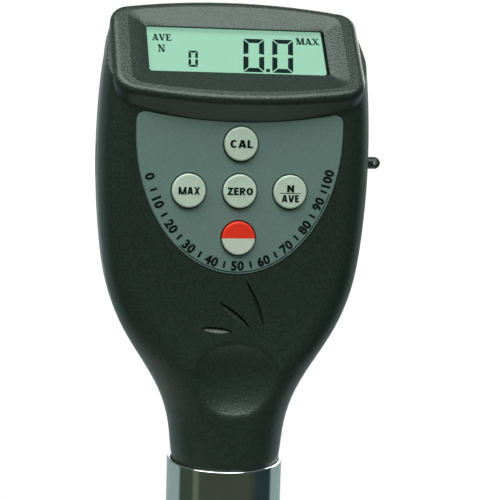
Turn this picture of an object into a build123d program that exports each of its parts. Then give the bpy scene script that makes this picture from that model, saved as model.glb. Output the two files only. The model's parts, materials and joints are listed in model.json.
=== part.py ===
from build123d import *
import os
from math import cos, hypot, radians, sin, sqrt, tan

# Hand-held digital hardness tester for rubber, in millimetres.
# The z axis is the tool axis and points up, and the front looks along -y.
# The origin is the centre of the presser foot's face.

# Fits
PLAY = 0.1
RUNNING = 0.05
SKIN = 0.02

# Measuring head
FOOT_RADIUS = 9.0
FOOT_HEIGHT = 9.0
FOOT_EDGE = 0.5
FOOT_SOLE = 3.0
FOOT_HOLE = 1.5
FOOT_GRIP_DEPTH = 0.5
FOOT_GRIP_WIDTH = 1.0
FOOT_GRIP_BOTTOM = 6.0
STEM_RADIUS = 5.5
STEM_LENGTH = 16.0
BUSH_RADIUS = 3.6
BARREL_RADIUS = 14.0
BARREL_WALL = 1.0
BARREL_LENGTH = 41.5
BARREL_FLOOR = 3.5
BARREL_EDGE = 2.5
RIM_EDGE = 0.45
LOCK_RING_RADIUS = 10.5
LOCK_RING_HEIGHT = 3.0
SLEEVE_RADIUS = 8.6
SLEEVE_BORE = 7.0
SLEEVE_LENGTH = 28.5
SLEEVE_COUNTERBORE = 1.0
FLANGE_RADIUS = 11.9
FLANGE_HEIGHT = 3.0
INDENTER_RADIUS = 0.625
INDENTER_TIP = 0.395
INDENTER_CONE = 35.0
INDENTER_REACH = 2.5
INDENTER_SEAT = 4.0
SPINDLE_RADIUS = 2.0
SPINDLE_LIFT = 1.2
SPINDLE_ABOVE_SLEEVE = 3.0
COLLAR_RADIUS = 6.2
COLLAR_HEIGHT = 2.0
SPRING_RADIUS = 4.3
SPRING_WIRE = 0.45
SPRING_TURNS = 6
SPRING_LENGTH = 12.0
ADJUSTER_HEIGHT = 3.0
UPPER_BUSH_RADIUS = 3.4
UPPER_BUSH_HEIGHT = 4.4
BOBBIN_BASE_RADIUS = 10.4
BOBBIN_BASE_HEIGHT = 1.8
BOBBIN_HEIGHT = 18.0
BOBBIN_BORE = 2.6
BOBBIN_TUBE = 0.8
BOBBIN_FLANGE = 6.5
BOBBIN_FLANGE_HEIGHT = 1.2
WINDING_RADIUS = 6.0
CORE_RADIUS = 1.9
CORE_LENGTH = 11.0

# Case, from the barrel's rim up
CASE_LENGTH = 109.7
CASE_WIDTH = 64.4
CASE_FRONT = 10.2
CASE_BACK = 14.4
CASE_CORNER = 7.5
BACK_CORNER = 9.5
NECK_RADIUS = 12.9
NECK_CORNER = 12.4
SPIGOT_LENGTH = 12.5
WALL = 2.0
PARTING_DEPTH = 7.0
SEAM_STEP = 0.2

# Stations up the case: share of its length, then of the way from neck to full width
# and to full depth, then how much of the back and corner is left at the crown.
CASE_STATIONS = (
    (0.000, 0.000, 0.00, 1.00),
    (0.070, 0.050, 0.05, 1.00),
    (0.142, 0.157, 0.16, 1.00),
    (0.215, 0.380, 0.40, 1.00),
    (0.290, 0.642, 0.70, 1.00),
    (0.380, 0.846, 0.92, 1.00),
    (0.490, 0.950, 1.00, 1.00),
    (0.640, 1.000, 1.00, 1.00),
    (0.785, 0.975, 1.00, 1.00),
    (0.880, 0.915, 1.00, 0.95),
    (0.945, 0.825, 1.00, 0.75),
    (1.000, 0.620, 1.00, 0.42),
)

# Display hood, measured up and down the slope of its face from the display's centre
FACE_TILT = 39.0
FACE_UP = 13.2
FACE_DOWN = 16.7
FACE_WIDTH = 58.8
FACE_TOP_SAG = 3.0
FACE_LIP_SAG = 3.1
FACE_TOP_CORNER = 4.5
FACE_LIP_CORNER = 5.5
FACE_EDGE = 1.8
FACE_STEP = 2.0
FACE_DEPTH = 6.0
LIP_REACH = 14.25
LIP_DROP = 4.9
LIP_TUCK = 9.0
FUNNEL_WIDTH = 48.8
FUNNEL_UP = 10.0
FUNNEL_DOWN = 13.1
FUNNEL_CORNER = 2.0
FUNNEL_DEPTH = 1.1
FUNNEL_EDGE = 1.0
FUNNEL_BEVEL = 0.2
WINDOW_WIDTH = 42.4
WINDOW_UP = 5.4
WINDOW_DOWN = 7.9
WINDOW_CORNER = 0.6
WINDOW_LEDGE = 0.5
LENS_MARGIN = 1.5
LENS_THICKNESS = 0.8
LENS_RAISE = 0.2
LCD_WIDTH = 46.0
LCD_HEIGHT = 15.0
LCD_THICKNESS = 1.8
ZEBRA_WIDTH = 43.0
ZEBRA_DEPTH = 2.0
ZEBRA_HEIGHT = 2.2
ZEBRA_OFFSET = 6.0
FRAME_WIDTH = 49.0
FRAME_UP = 8.2
FRAME_DOWN = 9.8
DISPLAY_BOARD_WIDTH = 55.2
DISPLAY_BOARD_UP = 7.1
DISPLAY_BOARD_DOWN = 11.0
DISPLAY_BOARD_THICKNESS = 1.2
DISPLAY_BOARD_CORNER = 4.0
DISPLAY_POST_RADIUS = 1.5
DISPLAY_POST_X = 26.2
DISPLAY_POST_DOWN = 3.0
RIBBON_WIDTH = 20.0
RIBBON_THICKNESS = 0.4
RIBBON_LAP = 1.0
RIBBON_DOWN = 9.5

# Front of the case, heights above the barrel's rim
DIMPLE_HEIGHT = 22.9
DIMPLE_FLOOR = 9.8
DIMPLE_BALL = 20.0
DIMPLE_SWEEP = 28.0
DIMPLE_EDGE = 2.5
LEAVES = (
    (-8.4, 33.6, -0.8, 32.8),
    (-4.1, 39.8, 3.5, 33.6),
    (2.3, 44.7, 6.7, 34.1),
)
LEAF_WIDTH = 1.4
LEAF_SLOPE = 32.0
PANEL_WIDTH = 48.6
PANEL_BOWL = 33.0
PANEL_SHOULDER = 79.0
PANEL_CORNER_HEIGHT = 84.05
PANEL_TOP_SAG = 2.5
PANEL_TOP_CORNER = 2.0
PANEL_THICKNESS = 0.8
PANEL_CLEAR = 0.3
PANEL_EDGE = 0.25
KEY_HEIGHT = 65.6
KEY_PITCH_X = 11.85
KEY_PITCH_Z = 10.9
KEY_RADIUS = 3.9
KEY_GAP = 0.2
KEY_EDGE = 0.4
KEY_TRAVEL = 0.8
KEY_FLANGE = 4.9
KEY_FLANGE_THICKNESS = 0.8
DOME_RADIUS = 3.3
DOME_TAPER = 22.0
DOME_HEIGHT = 1.9
MAT_MARGIN = 2.3
MAT_CORNER = 3.0
MAT_THICKNESS = 1.0
BOARD_WIDTH = 46.0
BOARD_HEIGHT = 34.0
BOARD_CORNER = 2.0
BOARD_THICKNESS = 1.6
BOARD_RISE = -0.6
BOARD_SCREW_INSET = 3.0
BOARD_POST_RADIUS = 2.0
BOARD_SCREW_RADIUS = 0.9
BOARD_SCREW_HEAD = 1.8
BOARD_SCREW_HEAD_HEIGHT = 1.2
BOARD_SCREW_LENGTH = 3.6

# Components on the back of the main board: width, height, thickness, then x and z on the board
CHIPS = (
    (12.0, 12.0, 1.4, -7.0, 3.0),
    (6.0, 5.0, 1.6, 8.0, 5.5),
    (5.0, 4.0, 1.6, 15.0, 5.5),
    (3.0, 8.0, 1.8, 3.0, -4.0),
)
CAPACITORS = ((-16.5, 4.0), (-16.5, -3.0), (12.0, -4.0), (17.5, -4.0))
CAPACITOR_RADIUS = 2.1
CAPACITOR_HEIGHT = 2.2
LEAD_PLUG = (7.0, 4.0, 2.2)
LEAD_PLUG_DROP = 12.0
RIBBON_PLUG = (24.0, 3.0, 2.2)
RIBBON_PLUG_RISE = 13.0

# Power and fixings at the back
CELL_RADIUS = 5.25
CELL_LENGTH = 44.5
CELL_COUNT = 4
CELL_GAP = 0.15
CELL_NUB_RADIUS = 1.9
CELL_NUB_HEIGHT = 0.9
CELL_EDGE = 0.4
CONTACT_ROOM = 3.2
CONTACT_THICKNESS = 0.4
CONTACT_WIDTH = 8.0
CONTACT_SPRING_WIRE = 0.3
CONTACT_SPRING_TURNS = 3
CONTACT_SPRING_BASE = 3.4
CONTACT_SPRING_TIP = 2.0
BAY_WALL = 1.1
BAY_FRONT = 0.2
BAY_TOP = 86.1
DOOR_SKIN = 1.8
DOOR_WIDTH = 46.0
DOOR_TOP = 94.6
DOOR_GAP = 0.2
RAIL_HEIGHT = 1.2
RAIL_REACH = 1.0
RAIL_ROOT = 0.5
RAIL_LENGTH = 34.0
RAIL_BOTTOM = 45.0
GRIP_COUNT = 5
GRIP_PITCH = 2.0
GRIP_WIDTH = 18.0
GRIP_RADIUS = 0.55
GRIP_BOTTOM = 40.5
UPPER_SCREW_INSET = 4.4
UPPER_SCREW_HEIGHT = 80.0
LOWER_SCREW_OUT = 13.5
LOWER_SCREW_HEIGHT = 26.5
CASE_SCREW_RADIUS = 1.25
CASE_SCREW_HEAD = 2.4
CASE_SCREW_HEAD_HEIGHT = 1.6
CASE_SCREW_SEAT = 8.4
CASE_SCREW_LENGTH = 14.0
CASE_SCREW_SLOT = 0.6
BOSS_RADIUS = 2.8
SOCKET_HEIGHT = 71.6
SOCKET_DEPTH = 4.3
SOCKET_NOSE = 3.8
SOCKET_FLANGE = 4.4
SOCKET_SEAT = 1.2
SOCKET_FLANGE_THICKNESS = 1.0
SOCKET_BODY = 7.0
SOCKET_LENGTH = 9.0
SOCKET_BORE = 1.25
SOCKET_BORE_DEPTH = 8.0
POST_HEIGHT = 72.0
POST_RADIUS = 1.5
POST_REACH = 36.2
POST_FLANGE = 2.6
POST_FLANGE_THICKNESS = 1.2
CORD_HOLE = 0.5
LEAD_RADIUS = 0.7
LEAD_BEND = 7.0
LEAD_EXIT = 4.8
LEAD_CLIMB = 10.0
LEAD_SWEEP = 12.0

# Heights and depths that follow
RIM_Z = FOOT_HEIGHT + BARREL_LENGTH
CROWN_Z = RIM_Z + CASE_LENGTH
STEM_TOP = FOOT_HEIGHT + STEM_LENGTH
FLOOR_TOP = FOOT_HEIGHT + BARREL_FLOOR
SLEEVE_BOTTOM = FLOOR_TOP + LOCK_RING_HEIGHT
SLEEVE_TOP = SLEEVE_BOTTOM + SLEEVE_LENGTH
SPINDLE_BOTTOM = FOOT_SOLE + SPINDLE_LIFT
SPINDLE_TOP = SLEEVE_TOP + SPINDLE_ABOVE_SLEEVE
COLLAR_BOTTOM = STEM_TOP + PLAY
COLLAR_TOP = COLLAR_BOTTOM + COLLAR_HEIGHT
SPRING_TOP = COLLAR_TOP + SPRING_LENGTH
BOBBIN_BOTTOM = SLEEVE_TOP + PLAY
BOBBIN_TOP = BOBBIN_BOTTOM + BOBBIN_HEIGHT
KEY_STOP = -(CASE_FRONT - WALL)
KEY_PROUD = KEY_TRAVEL + PLAY
KEY_FLANGE_FRONT = KEY_STOP + PLAY
KEY_FLANGE_BACK = KEY_FLANGE_FRONT + KEY_FLANGE_THICKNESS
MAT_FRONT = KEY_FLANGE_BACK + DOME_HEIGHT
BOARD_FRONT = MAT_FRONT + MAT_THICKNESS
MAT_WIDTH = 2 * (KEY_PITCH_X + DOME_RADIUS + MAT_MARGIN)
MAT_HEIGHT = 2 * (KEY_PITCH_Z + DOME_RADIUS + MAT_MARGIN)
BOARD_BACK = BOARD_FRONT + BOARD_THICKNESS
KEY_Z = RIM_Z + KEY_HEIGHT
BOARD_Z = KEY_Z + BOARD_RISE
BAY_WIDTH = CELL_COUNT * 2 * CELL_RADIUS + (CELL_COUNT + 1) * CELL_GAP
BAY_LENGTH = CELL_LENGTH + 2 * CONTACT_ROOM
BAY_TOP_Z = RIM_Z + BAY_TOP
BAY_BOTTOM_Z = BAY_TOP_Z - BAY_LENGTH
BAY_FLOOR = BAY_FRONT + BAY_WALL
CELL_Y = BAY_FLOOR + CELL_GAP + CELL_RADIUS
DOOR_INSIDE = CASE_BACK - DOOR_SKIN
DOOR_TOP_Z = RIM_Z + DOOR_TOP
DOOR_BOTTOM_Z = BAY_BOTTOM_Z - BAY_WALL
SOCKET_Z = RIM_Z + SOCKET_HEIGHT
POST_Z = RIM_Z + POST_HEIGHT
FACE_TOP_BOW = ((FACE_WIDTH / 2) ** 2 + FACE_TOP_SAG**2) / (2 * FACE_TOP_SAG)
LENS_WIDTH = WINDOW_WIDTH + 2 * LENS_MARGIN
LENS_UP = WINDOW_UP + LENS_MARGIN
LENS_DOWN = WINDOW_DOWN + LENS_MARGIN
LENS_FRONT = FUNNEL_DEPTH + WINDOW_LEDGE
LENS_BACK = LENS_FRONT + LENS_THICKNESS
LCD_FRONT = LENS_BACK + PLAY
LCD_BACK = LCD_FRONT + LCD_THICKNESS
DISPLAY_BOARD_FRONT = LCD_BACK + ZEBRA_HEIGHT

os.makedirs("parts", exist_ok=True)

UP_SLOPE = Vector(0, sin(radians(FACE_TILT)), cos(radians(FACE_TILT)))
FACE_NORMAL = Vector(0, -cos(radians(FACE_TILT)), sin(radians(FACE_TILT)))
FACE_CENTRE = Vector(
    0,
    FACE_DOWN * sin(radians(FACE_TILT)) - LIP_REACH,
    CROWN_Z - FACE_UP * cos(radians(FACE_TILT)),
)
FACE = Plane(origin=FACE_CENTRE, x_dir=(1, 0, 0), z_dir=FACE_NORMAL)


def keep(builder, name):
    """Label a finished piece and write it as its own STEP file."""
    builder.part.label = name
    export_step(builder.part, f"parts/{name}.step")


def upright(y):
    """Plane square to the y axis, with its own axes along x and z, facing the front."""
    return Plane.XZ.offset(-y)


def cylinder_along_y(radius, y_from, y_to, spots, mode=Mode.ADD):
    """Cylinders along y at (x, z) spots, added to the piece being built."""
    with BuildSketch(upright(y_from)) as circles:
        with Locations(*spots):
            Circle(radius)
    extrude(circles.sketch, amount=y_from - y_to, mode=mode)


def cylinder_along_z(radius, z_from, z_to, bore=0.0, mode=Mode.ADD):
    """A cylinder or a tube on the tool axis, added to the piece being built."""
    with BuildSketch(Plane.XY.offset(z_from)) as ring:
        Circle(radius)
        if bore:
            Circle(bore, mode=Mode.SUBTRACT)
    extrude(ring.sketch, amount=z_to - z_from, mode=mode)


def block(x_span, y_span, z_span, mode=Mode.ADD):
    """A box between two values on each axis, added to the piece being built."""
    with BuildSketch(Plane.XY.offset(z_span[0])) as base:
        with Locations(((x_span[0] + x_span[1]) / 2, (y_span[0] + y_span[1]) / 2)):
            Rectangle(x_span[1] - x_span[0], y_span[1] - y_span[0])
    extrude(base.sketch, amount=z_span[1] - z_span[0], mode=mode)


def slope_plate(width, up, down, depth_from, depth_to, corner=0.0, mode=Mode.ADD):
    """A plate parallel to the display's face, between two depths behind it."""
    with BuildSketch(FACE.offset(-depth_from)) as plate:
        with Locations((0, (up - down) / 2)):
            if corner:
                RectangleRounded(width, up + down, corner)
            else:
                Rectangle(width, up + down)
    extrude(plate.sketch, amount=depth_from - depth_to, mode=mode)


def cylinder_on_face(radius, depth_from, depth_to, spots, mode=Mode.ADD):
    """Cylinders square to the display's face at spots on it, added to the piece being built."""
    with BuildSketch(FACE.offset(-depth_from)) as circles:
        with Locations(*spots):
            Circle(radius)
    extrude(circles.sketch, amount=depth_from - depth_to, mode=mode)


def on_board(size, x, z):
    """A box of width, height and thickness on the back of the main board."""
    width, height, thickness = size
    block((x - width / 2, x + width / 2), (BOARD_BACK, BOARD_BACK + thickness),
          (z - height / 2, z + height / 2))


def between(start, end, share):
    """The value that lies a share of the way from start to end."""
    return start + (end - start) * share


def case_swell(inset, setback):
    """The case's swelling form, inset all round, cut off behind the display's face."""
    with BuildPart() as swell:
        for height, width, depth, crown in CASE_STATIONS:
            half_width = between(NECK_RADIUS, CASE_WIDTH / 2, width) - inset
            front = between(NECK_RADIUS, CASE_FRONT, depth) - inset
            back = between(NECK_RADIUS, CASE_BACK, depth) * crown - inset
            front_corner = (between(NECK_CORNER, CASE_CORNER, depth) - inset) * crown
            back_corner = (between(NECK_CORNER, BACK_CORNER, depth) - inset) * crown
            z = RIM_Z + height * (CASE_LENGTH - inset)
            with BuildSketch(Plane.XY.offset(z)) as section:
                with Locations((0, (back - front) / 2)):
                    Rectangle(2 * half_width, front + back)
                fillet(section.vertices().group_by(Axis.Y)[0], front_corner)
                fillet(section.vertices().group_by(Axis.Y)[-1], back_corner)
        loft()
        split(bisect_by=FACE.offset(-setback), keep=Keep.BOTTOM)
        with BuildSketch(FACE):
            with Locations((0, FACE_UP - FACE_TOP_BOW)):
                Circle(FACE_TOP_BOW - inset)
        extrude(amount=CASE_LENGTH, both=True, mode=Mode.INTERSECT)
    return swell.part


def bowed_outline(width, up, down, top_corner, low_corner):
    """Outline in the plane of the hood's face, bowed at the top and the bottom as the face is."""
    side = width / 2
    share = (width / FACE_WIDTH) ** 2
    top = up - FACE_TOP_SAG * share
    bottom = FACE_LIP_SAG * share - down
    with BuildSketch(Plane.XY) as outline:
        with BuildLine():
            ThreePointArc((-side, bottom), (0, -down), (side, bottom))
            Line((side, bottom), (side, top))
            ThreePointArc((side, top), (0, up), (-side, top))
            Line((-side, top), (-side, bottom))
        make_face()
        fillet(outline.vertices().group_by(Axis.Y)[0], low_corner)
        fillet(outline.vertices().group_by(Axis.Y)[-1], top_corner)
    return outline.sketch


def panel_outline(inset):
    """Outline of the keypad panel in x and z: a bowl below and a hollow edge on top."""
    side = PANEL_WIDTH / 2 - inset
    shoulder = RIM_Z + PANEL_SHOULDER
    corner = RIM_Z + PANEL_CORNER_HEIGHT - inset
    with BuildSketch(Plane.XY) as outline:
        with BuildLine():
            EllipticalCenterArc((0, shoulder), side, PANEL_BOWL - inset, 180, arc_size=180)
            Line((side, shoulder), (side, corner))
            ThreePointArc((side, corner), (0, corner - PANEL_TOP_SAG), (-side, corner))
            Line((-side, corner), (-side, shoulder))
        make_face()
        fillet(outline.vertices().group_by(Axis.Y)[-1], PANEL_TOP_CORNER)
    return outline.sketch


def coil_path(centre, base_radius, tip_radius, turns, rise):
    """Half turns of a coil that climbs along z, each a tilted arc that meets the next smoothly."""
    half_turns = 2 * turns
    radii = [between(base_radius, tip_radius, i / half_turns) for i in range(half_turns + 1)]
    step = rise / half_turns
    arcs = []
    for i in range(half_turns):
        side = 1 if i % 2 == 0 else -1
        span = radii[i] + radii[i + 1]
        middle_x = side * (radii[i] - radii[i + 1]) / 2
        low = centre.Z + i * step
        arcs.append(
            ThreePointArc(
                (centre.X + side * radii[i], centre.Y, low),
                (centre.X + middle_x, centre.Y + side * hypot(span, step) / 2, low + step / 2),
                (centre.X - side * radii[i + 1], centre.Y, low + step),
            )
        )
    return Wire(arcs)


def coil(centre, base_radius, tip_radius, turns, rise, wire_radius):
    """A round wire wound along z, added to the piece being built."""
    path = coil_path(centre, base_radius, tip_radius, turns, rise)
    with BuildSketch(Plane(origin=path @ 0, z_dir=path % 0)) as section:
        Circle(wire_radius)
    sweep(section.sketch, path=path)


def key_spots():
    """The five keys by name, with their places in x and z."""
    return {
        "key_cal": (0, KEY_Z + KEY_PITCH_Z),
        "key_max": (-KEY_PITCH_X, KEY_Z),
        "key_zero": (0, KEY_Z),
        "key_average": (KEY_PITCH_X, KEY_Z),
        "key_power": (0, KEY_Z - KEY_PITCH_Z),
    }


def screw_spots():
    """Places of the case screws in x and z."""
    upper = (CASE_WIDTH / 2 - UPPER_SCREW_INSET, RIM_Z + UPPER_SCREW_HEIGHT)
    lower = (LOWER_SCREW_OUT, RIM_Z + LOWER_SCREW_HEIGHT)
    return [(side * x, z) for x, z in (upper, lower) for side in (-1, 1)]


def board_screw_spots():
    """Places of the main board's screws in x and z."""
    x = BOARD_WIDTH / 2 - BOARD_SCREW_INSET
    z = BOARD_HEIGHT / 2 - BOARD_SCREW_INSET
    return [(sx * x, BOARD_Z + sz * z) for sx in (-1, 1) for sz in (-1, 1)]


def display_screw_spots():
    """Places of the display board's screws on the display's face."""
    return [(-DISPLAY_POST_X, -DISPLAY_POST_DOWN), (DISPLAY_POST_X, -DISPLAY_POST_DOWN)]


def cell_spots():
    """Places of the cells' axes along x."""
    pitch = 2 * CELL_RADIUS + CELL_GAP
    return [(i - (CELL_COUNT - 1) / 2) * pitch for i in range(CELL_COUNT)]


def front_of(case, place):
    """The point of a case's front at a place in x and z."""
    sight = Axis((place.X, -CASE_WIDTH, place.Y), (0, 1, 0))
    return min((point for point, _ in case.find_intersection_points(sight)), key=lambda p: p.Y)


def leaf_cutter(case, x_outer, outer_height, x_inner, inner_height):
    """Cutter for a leaf groove in the case, whose floor slopes in from its lower edge."""
    outer = Vector(x_outer, RIM_Z + outer_height)
    inner = Vector(x_inner, RIM_Z + inner_height)
    along = (inner - outer).normalized()
    across = Vector(-along.Y, along.X)
    middle = (outer + inner) / 2
    lower = middle - across * (LEAF_WIDTH / 2)
    upper = middle + across * (LEAF_WIDTH / 2)
    ridge = (front_of(case, inner) - front_of(case, outer)).normalized()
    rise = (front_of(case, upper) - front_of(case, lower)).normalized()
    slope = radians(LEAF_SLOPE)
    floor = Plane(
        origin=front_of(case, lower),
        x_dir=ridge,
        z_dir=ridge.cross(rise) * cos(slope) + rise * sin(slope),
    )
    with BuildPart() as cutter:
        with BuildSketch(upright(-CASE_FRONT + WALL)):
            with BuildLine():
                ThreePointArc(outer, upper, inner)
                ThreePointArc(inner, lower, outer)
            make_face()
        extrude(amount=2 * WALL)
        split(bisect_by=floor, keep=Keep.TOP)
    return cutter.part


def thumb_ball(grown):
    """Barrel-shaped form of the thumb dimple, grown all round."""
    tip = sqrt((DIMPLE_SWEEP + grown) ** 2 - (DIMPLE_SWEEP - DIMPLE_BALL) ** 2)
    centre = Vector(0, -DIMPLE_FLOOR - DIMPLE_BALL, RIM_Z + DIMPLE_HEIGHT)
    with BuildPart() as ball:
        with BuildSketch(Plane(origin=centre)):
            with BuildLine():
                ThreePointArc((-tip, 0), (0, -DIMPLE_BALL - grown), (tip, 0))
                Line((tip, 0), (-tip, 0))
            make_face()
        revolve(axis=Axis(centre, (1, 0, 0)))
    return ball.part


def post_hole():
    """Hole for the lanyard post in the side of the case being built."""
    with BuildSketch(Plane.YZ.offset(CASE_WIDTH / 2)) as hole:
        with Locations((0, POST_Z)):
            Circle(POST_RADIUS + PLAY)
    extrude(hole.sketch, amount=2 * WALL, both=True, mode=Mode.SUBTRACT)


# The hood: its face drawn back square to itself, and drawn down and back under the lip
hood_outline = bowed_outline(FACE_WIDTH, FACE_UP, FACE_DOWN, FACE_TOP_CORNER, FACE_LIP_CORNER)
lip_run = LIP_REACH - CASE_FRONT
under_lip = Vector(0, lip_run, -LIP_DROP) * (LIP_TUCK / LIP_DROP)
with BuildPart() as case_form:
    add(case_swell(0, FACE_STEP))
    cylinder_along_z(NECK_RADIUS, RIM_Z - SPIGOT_LENGTH, RIM_Z)
    extrude(FACE * hood_outline, amount=-FACE_DEPTH)
    lip_root = Plane(origin=FACE_CENTRE + under_lip, x_dir=(1, 0, 0), z_dir=FACE_NORMAL)
    loft(sections=[FACE * hood_outline, lip_root * hood_outline], ruled=True)
    hood_face = faces().filter_by(FACE).sort_by(Axis(FACE_CENTRE, FACE_NORMAL))[-1]
    fillet(hood_face.outer_wire().edges(), FACE_EDGE)

# The back of the case, a step smaller so that the parting line shows
with BuildPart() as back_form:
    add(case_swell(SEAM_STEP, FACE_STEP))
    cylinder_along_z(NECK_RADIUS - SEAM_STEP, RIM_Z - SPIGOT_LENGTH, RIM_Z)

with BuildPart() as case_hollow:
    add(case_swell(WALL, LENS_BACK))
    cylinder_along_z(NECK_RADIUS - WALL, RIM_Z - SPIGOT_LENGTH, RIM_Z)

# Bosses for the case screws, from the back of the case to its front
with BuildPart() as screw_bosses:
    cylinder_along_y(BOSS_RADIUS, CASE_BACK, -NECK_RADIUS, screw_spots())
    add(case_form.part, mode=Mode.INTERSECT)

# Everything in front of the parting line, which leans back behind the display hood
parting_bend = FACE_CENTRE - FACE_NORMAL * PARTING_DEPTH
parting_bend -= UP_SLOPE * (parting_bend.Y / UP_SLOPE.Y)
parting_end = parting_bend + UP_SLOPE * CASE_WIDTH
with BuildPart() as front_side:
    with BuildSketch(Plane.YZ):
        with BuildLine():
            Polyline(
                (-CASE_WIDTH, 0),
                (0, 0),
                (0, parting_bend.Z),
                (parting_end.Y, parting_end.Z),
                (-CASE_WIDTH, parting_end.Z),
                close=True,
            )
        make_face()
    extrude(amount=CASE_WIDTH, both=True)

# Front half of the case
with BuildPart() as front_shell:
    add(case_form.part)
    add(case_hollow.part - thumb_ball(WALL), mode=Mode.SUBTRACT)
    add(screw_bosses.part)
    add(front_side.part, mode=Mode.INTERSECT)
    cylinder_along_y(BOARD_POST_RADIUS, BOARD_FRONT, -CASE_FRONT + WALL / 2, board_screw_spots())
    cylinder_along_y(CASE_SCREW_RADIUS + SKIN, 0, CASE_SCREW_SEAT - CASE_SCREW_LENGTH - PLAY,
                     screw_spots(), Mode.SUBTRACT)
    cylinder_along_y(BOARD_SCREW_RADIUS + SKIN, BOARD_FRONT,
                     BOARD_BACK - BOARD_SCREW_LENGTH - PLAY, board_screw_spots(), Mode.SUBTRACT)
    cylinder_on_face(DISPLAY_POST_RADIUS, LENS_FRONT, DISPLAY_BOARD_FRONT, display_screw_spots())
    cylinder_on_face(BOARD_SCREW_RADIUS + SKIN, LENS_BACK, DISPLAY_BOARD_FRONT,
                     display_screw_spots(), Mode.SUBTRACT)
    add(thumb_ball(0), mode=Mode.SUBTRACT)
    dimple = front_shell.faces().sort_by_distance((0, -DIMPLE_FLOOR, RIM_Z + DIMPLE_HEIGHT))[0]
    fillet(dimple.outer_wire().edges(), DIMPLE_EDGE)
    for leaf in LEAVES:
        add(leaf_cutter(case_form.part, *leaf), mode=Mode.SUBTRACT)
    extrude(upright(-CASE_FRONT - PANEL_CLEAR) * panel_outline(0),
            amount=-PANEL_THICKNESS - PANEL_CLEAR, mode=Mode.SUBTRACT)
    cylinder_along_y(KEY_RADIUS + KEY_GAP, 0, -CASE_FRONT - PANEL_CLEAR, key_spots().values(),
                     Mode.SUBTRACT)
    cylinder_along_y(KEY_FLANGE + KEY_GAP, 0, KEY_STOP, key_spots().values(), Mode.SUBTRACT)
    for edge, depth in ((FUNNEL_EDGE, 0), (0, FUNNEL_BEVEL)):
        with BuildSketch(FACE.offset(-depth)):
            corner = FUNNEL_CORNER + edge
            add(bowed_outline(FUNNEL_WIDTH + 2 * edge, FUNNEL_UP + edge, FUNNEL_DOWN + edge, corner, corner))
    with BuildSketch(FACE.offset(-FUNNEL_DEPTH)):
        with Locations((0, (WINDOW_UP - WINDOW_DOWN) / 2)):
            RectangleRounded(WINDOW_WIDTH, WINDOW_UP + WINDOW_DOWN, WINDOW_CORNER)
    loft(mode=Mode.SUBTRACT)
    slope_plate(WINDOW_WIDTH, WINDOW_UP, WINDOW_DOWN, FUNNEL_DEPTH, LENS_FRONT,
                WINDOW_CORNER, Mode.SUBTRACT)
    slope_plate(LENS_WIDTH + 2 * PLAY, LENS_UP + PLAY, LENS_DOWN + PLAY, LENS_FRONT, LENS_BACK + PLAY,
                mode=Mode.SUBTRACT)
    cylinder_along_z(FLANGE_RADIUS + PLAY, SLEEVE_TOP - FLANGE_HEIGHT - PLAY, SLEEVE_TOP + PLAY,
                     mode=Mode.SUBTRACT)
    post_hole()
keep(front_shell, "front_shell")

# Rear half of the case, with the battery bay and the door's seat
bay_side = BAY_WIDTH / 2
door_side = DOOR_WIDTH / 2 + DOOR_GAP
with BuildPart() as rear_shell:
    add(back_form.part)
    add(case_hollow.part, mode=Mode.SUBTRACT)
    add(screw_bosses.part & back_form.part)
    add(front_side.part, mode=Mode.SUBTRACT)
    block((-bay_side - BAY_WALL, bay_side + BAY_WALL), (BAY_FRONT, DOOR_INSIDE),
          (BAY_BOTTOM_Z - BAY_WALL, BAY_TOP_Z + BAY_WALL))
    block((-bay_side, bay_side), (BAY_FLOOR, 2 * CASE_BACK), (BAY_BOTTOM_Z, BAY_TOP_Z), Mode.SUBTRACT)
    block((-door_side, door_side), (DOOR_INSIDE - DOOR_GAP, 2 * CASE_BACK),
          (DOOR_BOTTOM_Z - DOOR_GAP, 2 * CROWN_Z), Mode.SUBTRACT)
    for side in (-1, 1):
        inner = side * (DOOR_WIDTH / 2 - RAIL_ROOT - DOOR_GAP)
        outer = side * (DOOR_WIDTH / 2 + RAIL_REACH + DOOR_GAP)
        block(sorted((inner, outer)),
              (DOOR_INSIDE - RAIL_HEIGHT - DOOR_GAP, DOOR_INSIDE + DOOR_GAP),
              (RIM_Z + RAIL_BOTTOM - DOOR_GAP, 2 * CROWN_Z), Mode.SUBTRACT)
    cylinder_along_y(CASE_SCREW_RADIUS + PLAY, CASE_SCREW_SEAT, 0, screw_spots(), Mode.SUBTRACT)
    cylinder_along_y(CASE_SCREW_HEAD + PLAY, 2 * CASE_BACK, CASE_SCREW_SEAT, screw_spots(), Mode.SUBTRACT)
    with BuildSketch(Plane.YZ.offset(-CASE_WIDTH / 2)) as socket_mouth:
        with Locations((SOCKET_DEPTH, SOCKET_Z)):
            Circle(SOCKET_NOSE + PLAY)
    extrude(socket_mouth.sketch, amount=2 * WALL, both=True, mode=Mode.SUBTRACT)
    cylinder_along_z(FLANGE_RADIUS + PLAY, SLEEVE_TOP - FLANGE_HEIGHT - PLAY, SLEEVE_TOP + PLAY,
                     mode=Mode.SUBTRACT)
    post_hole()
keep(rear_shell, "rear_shell")

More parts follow.
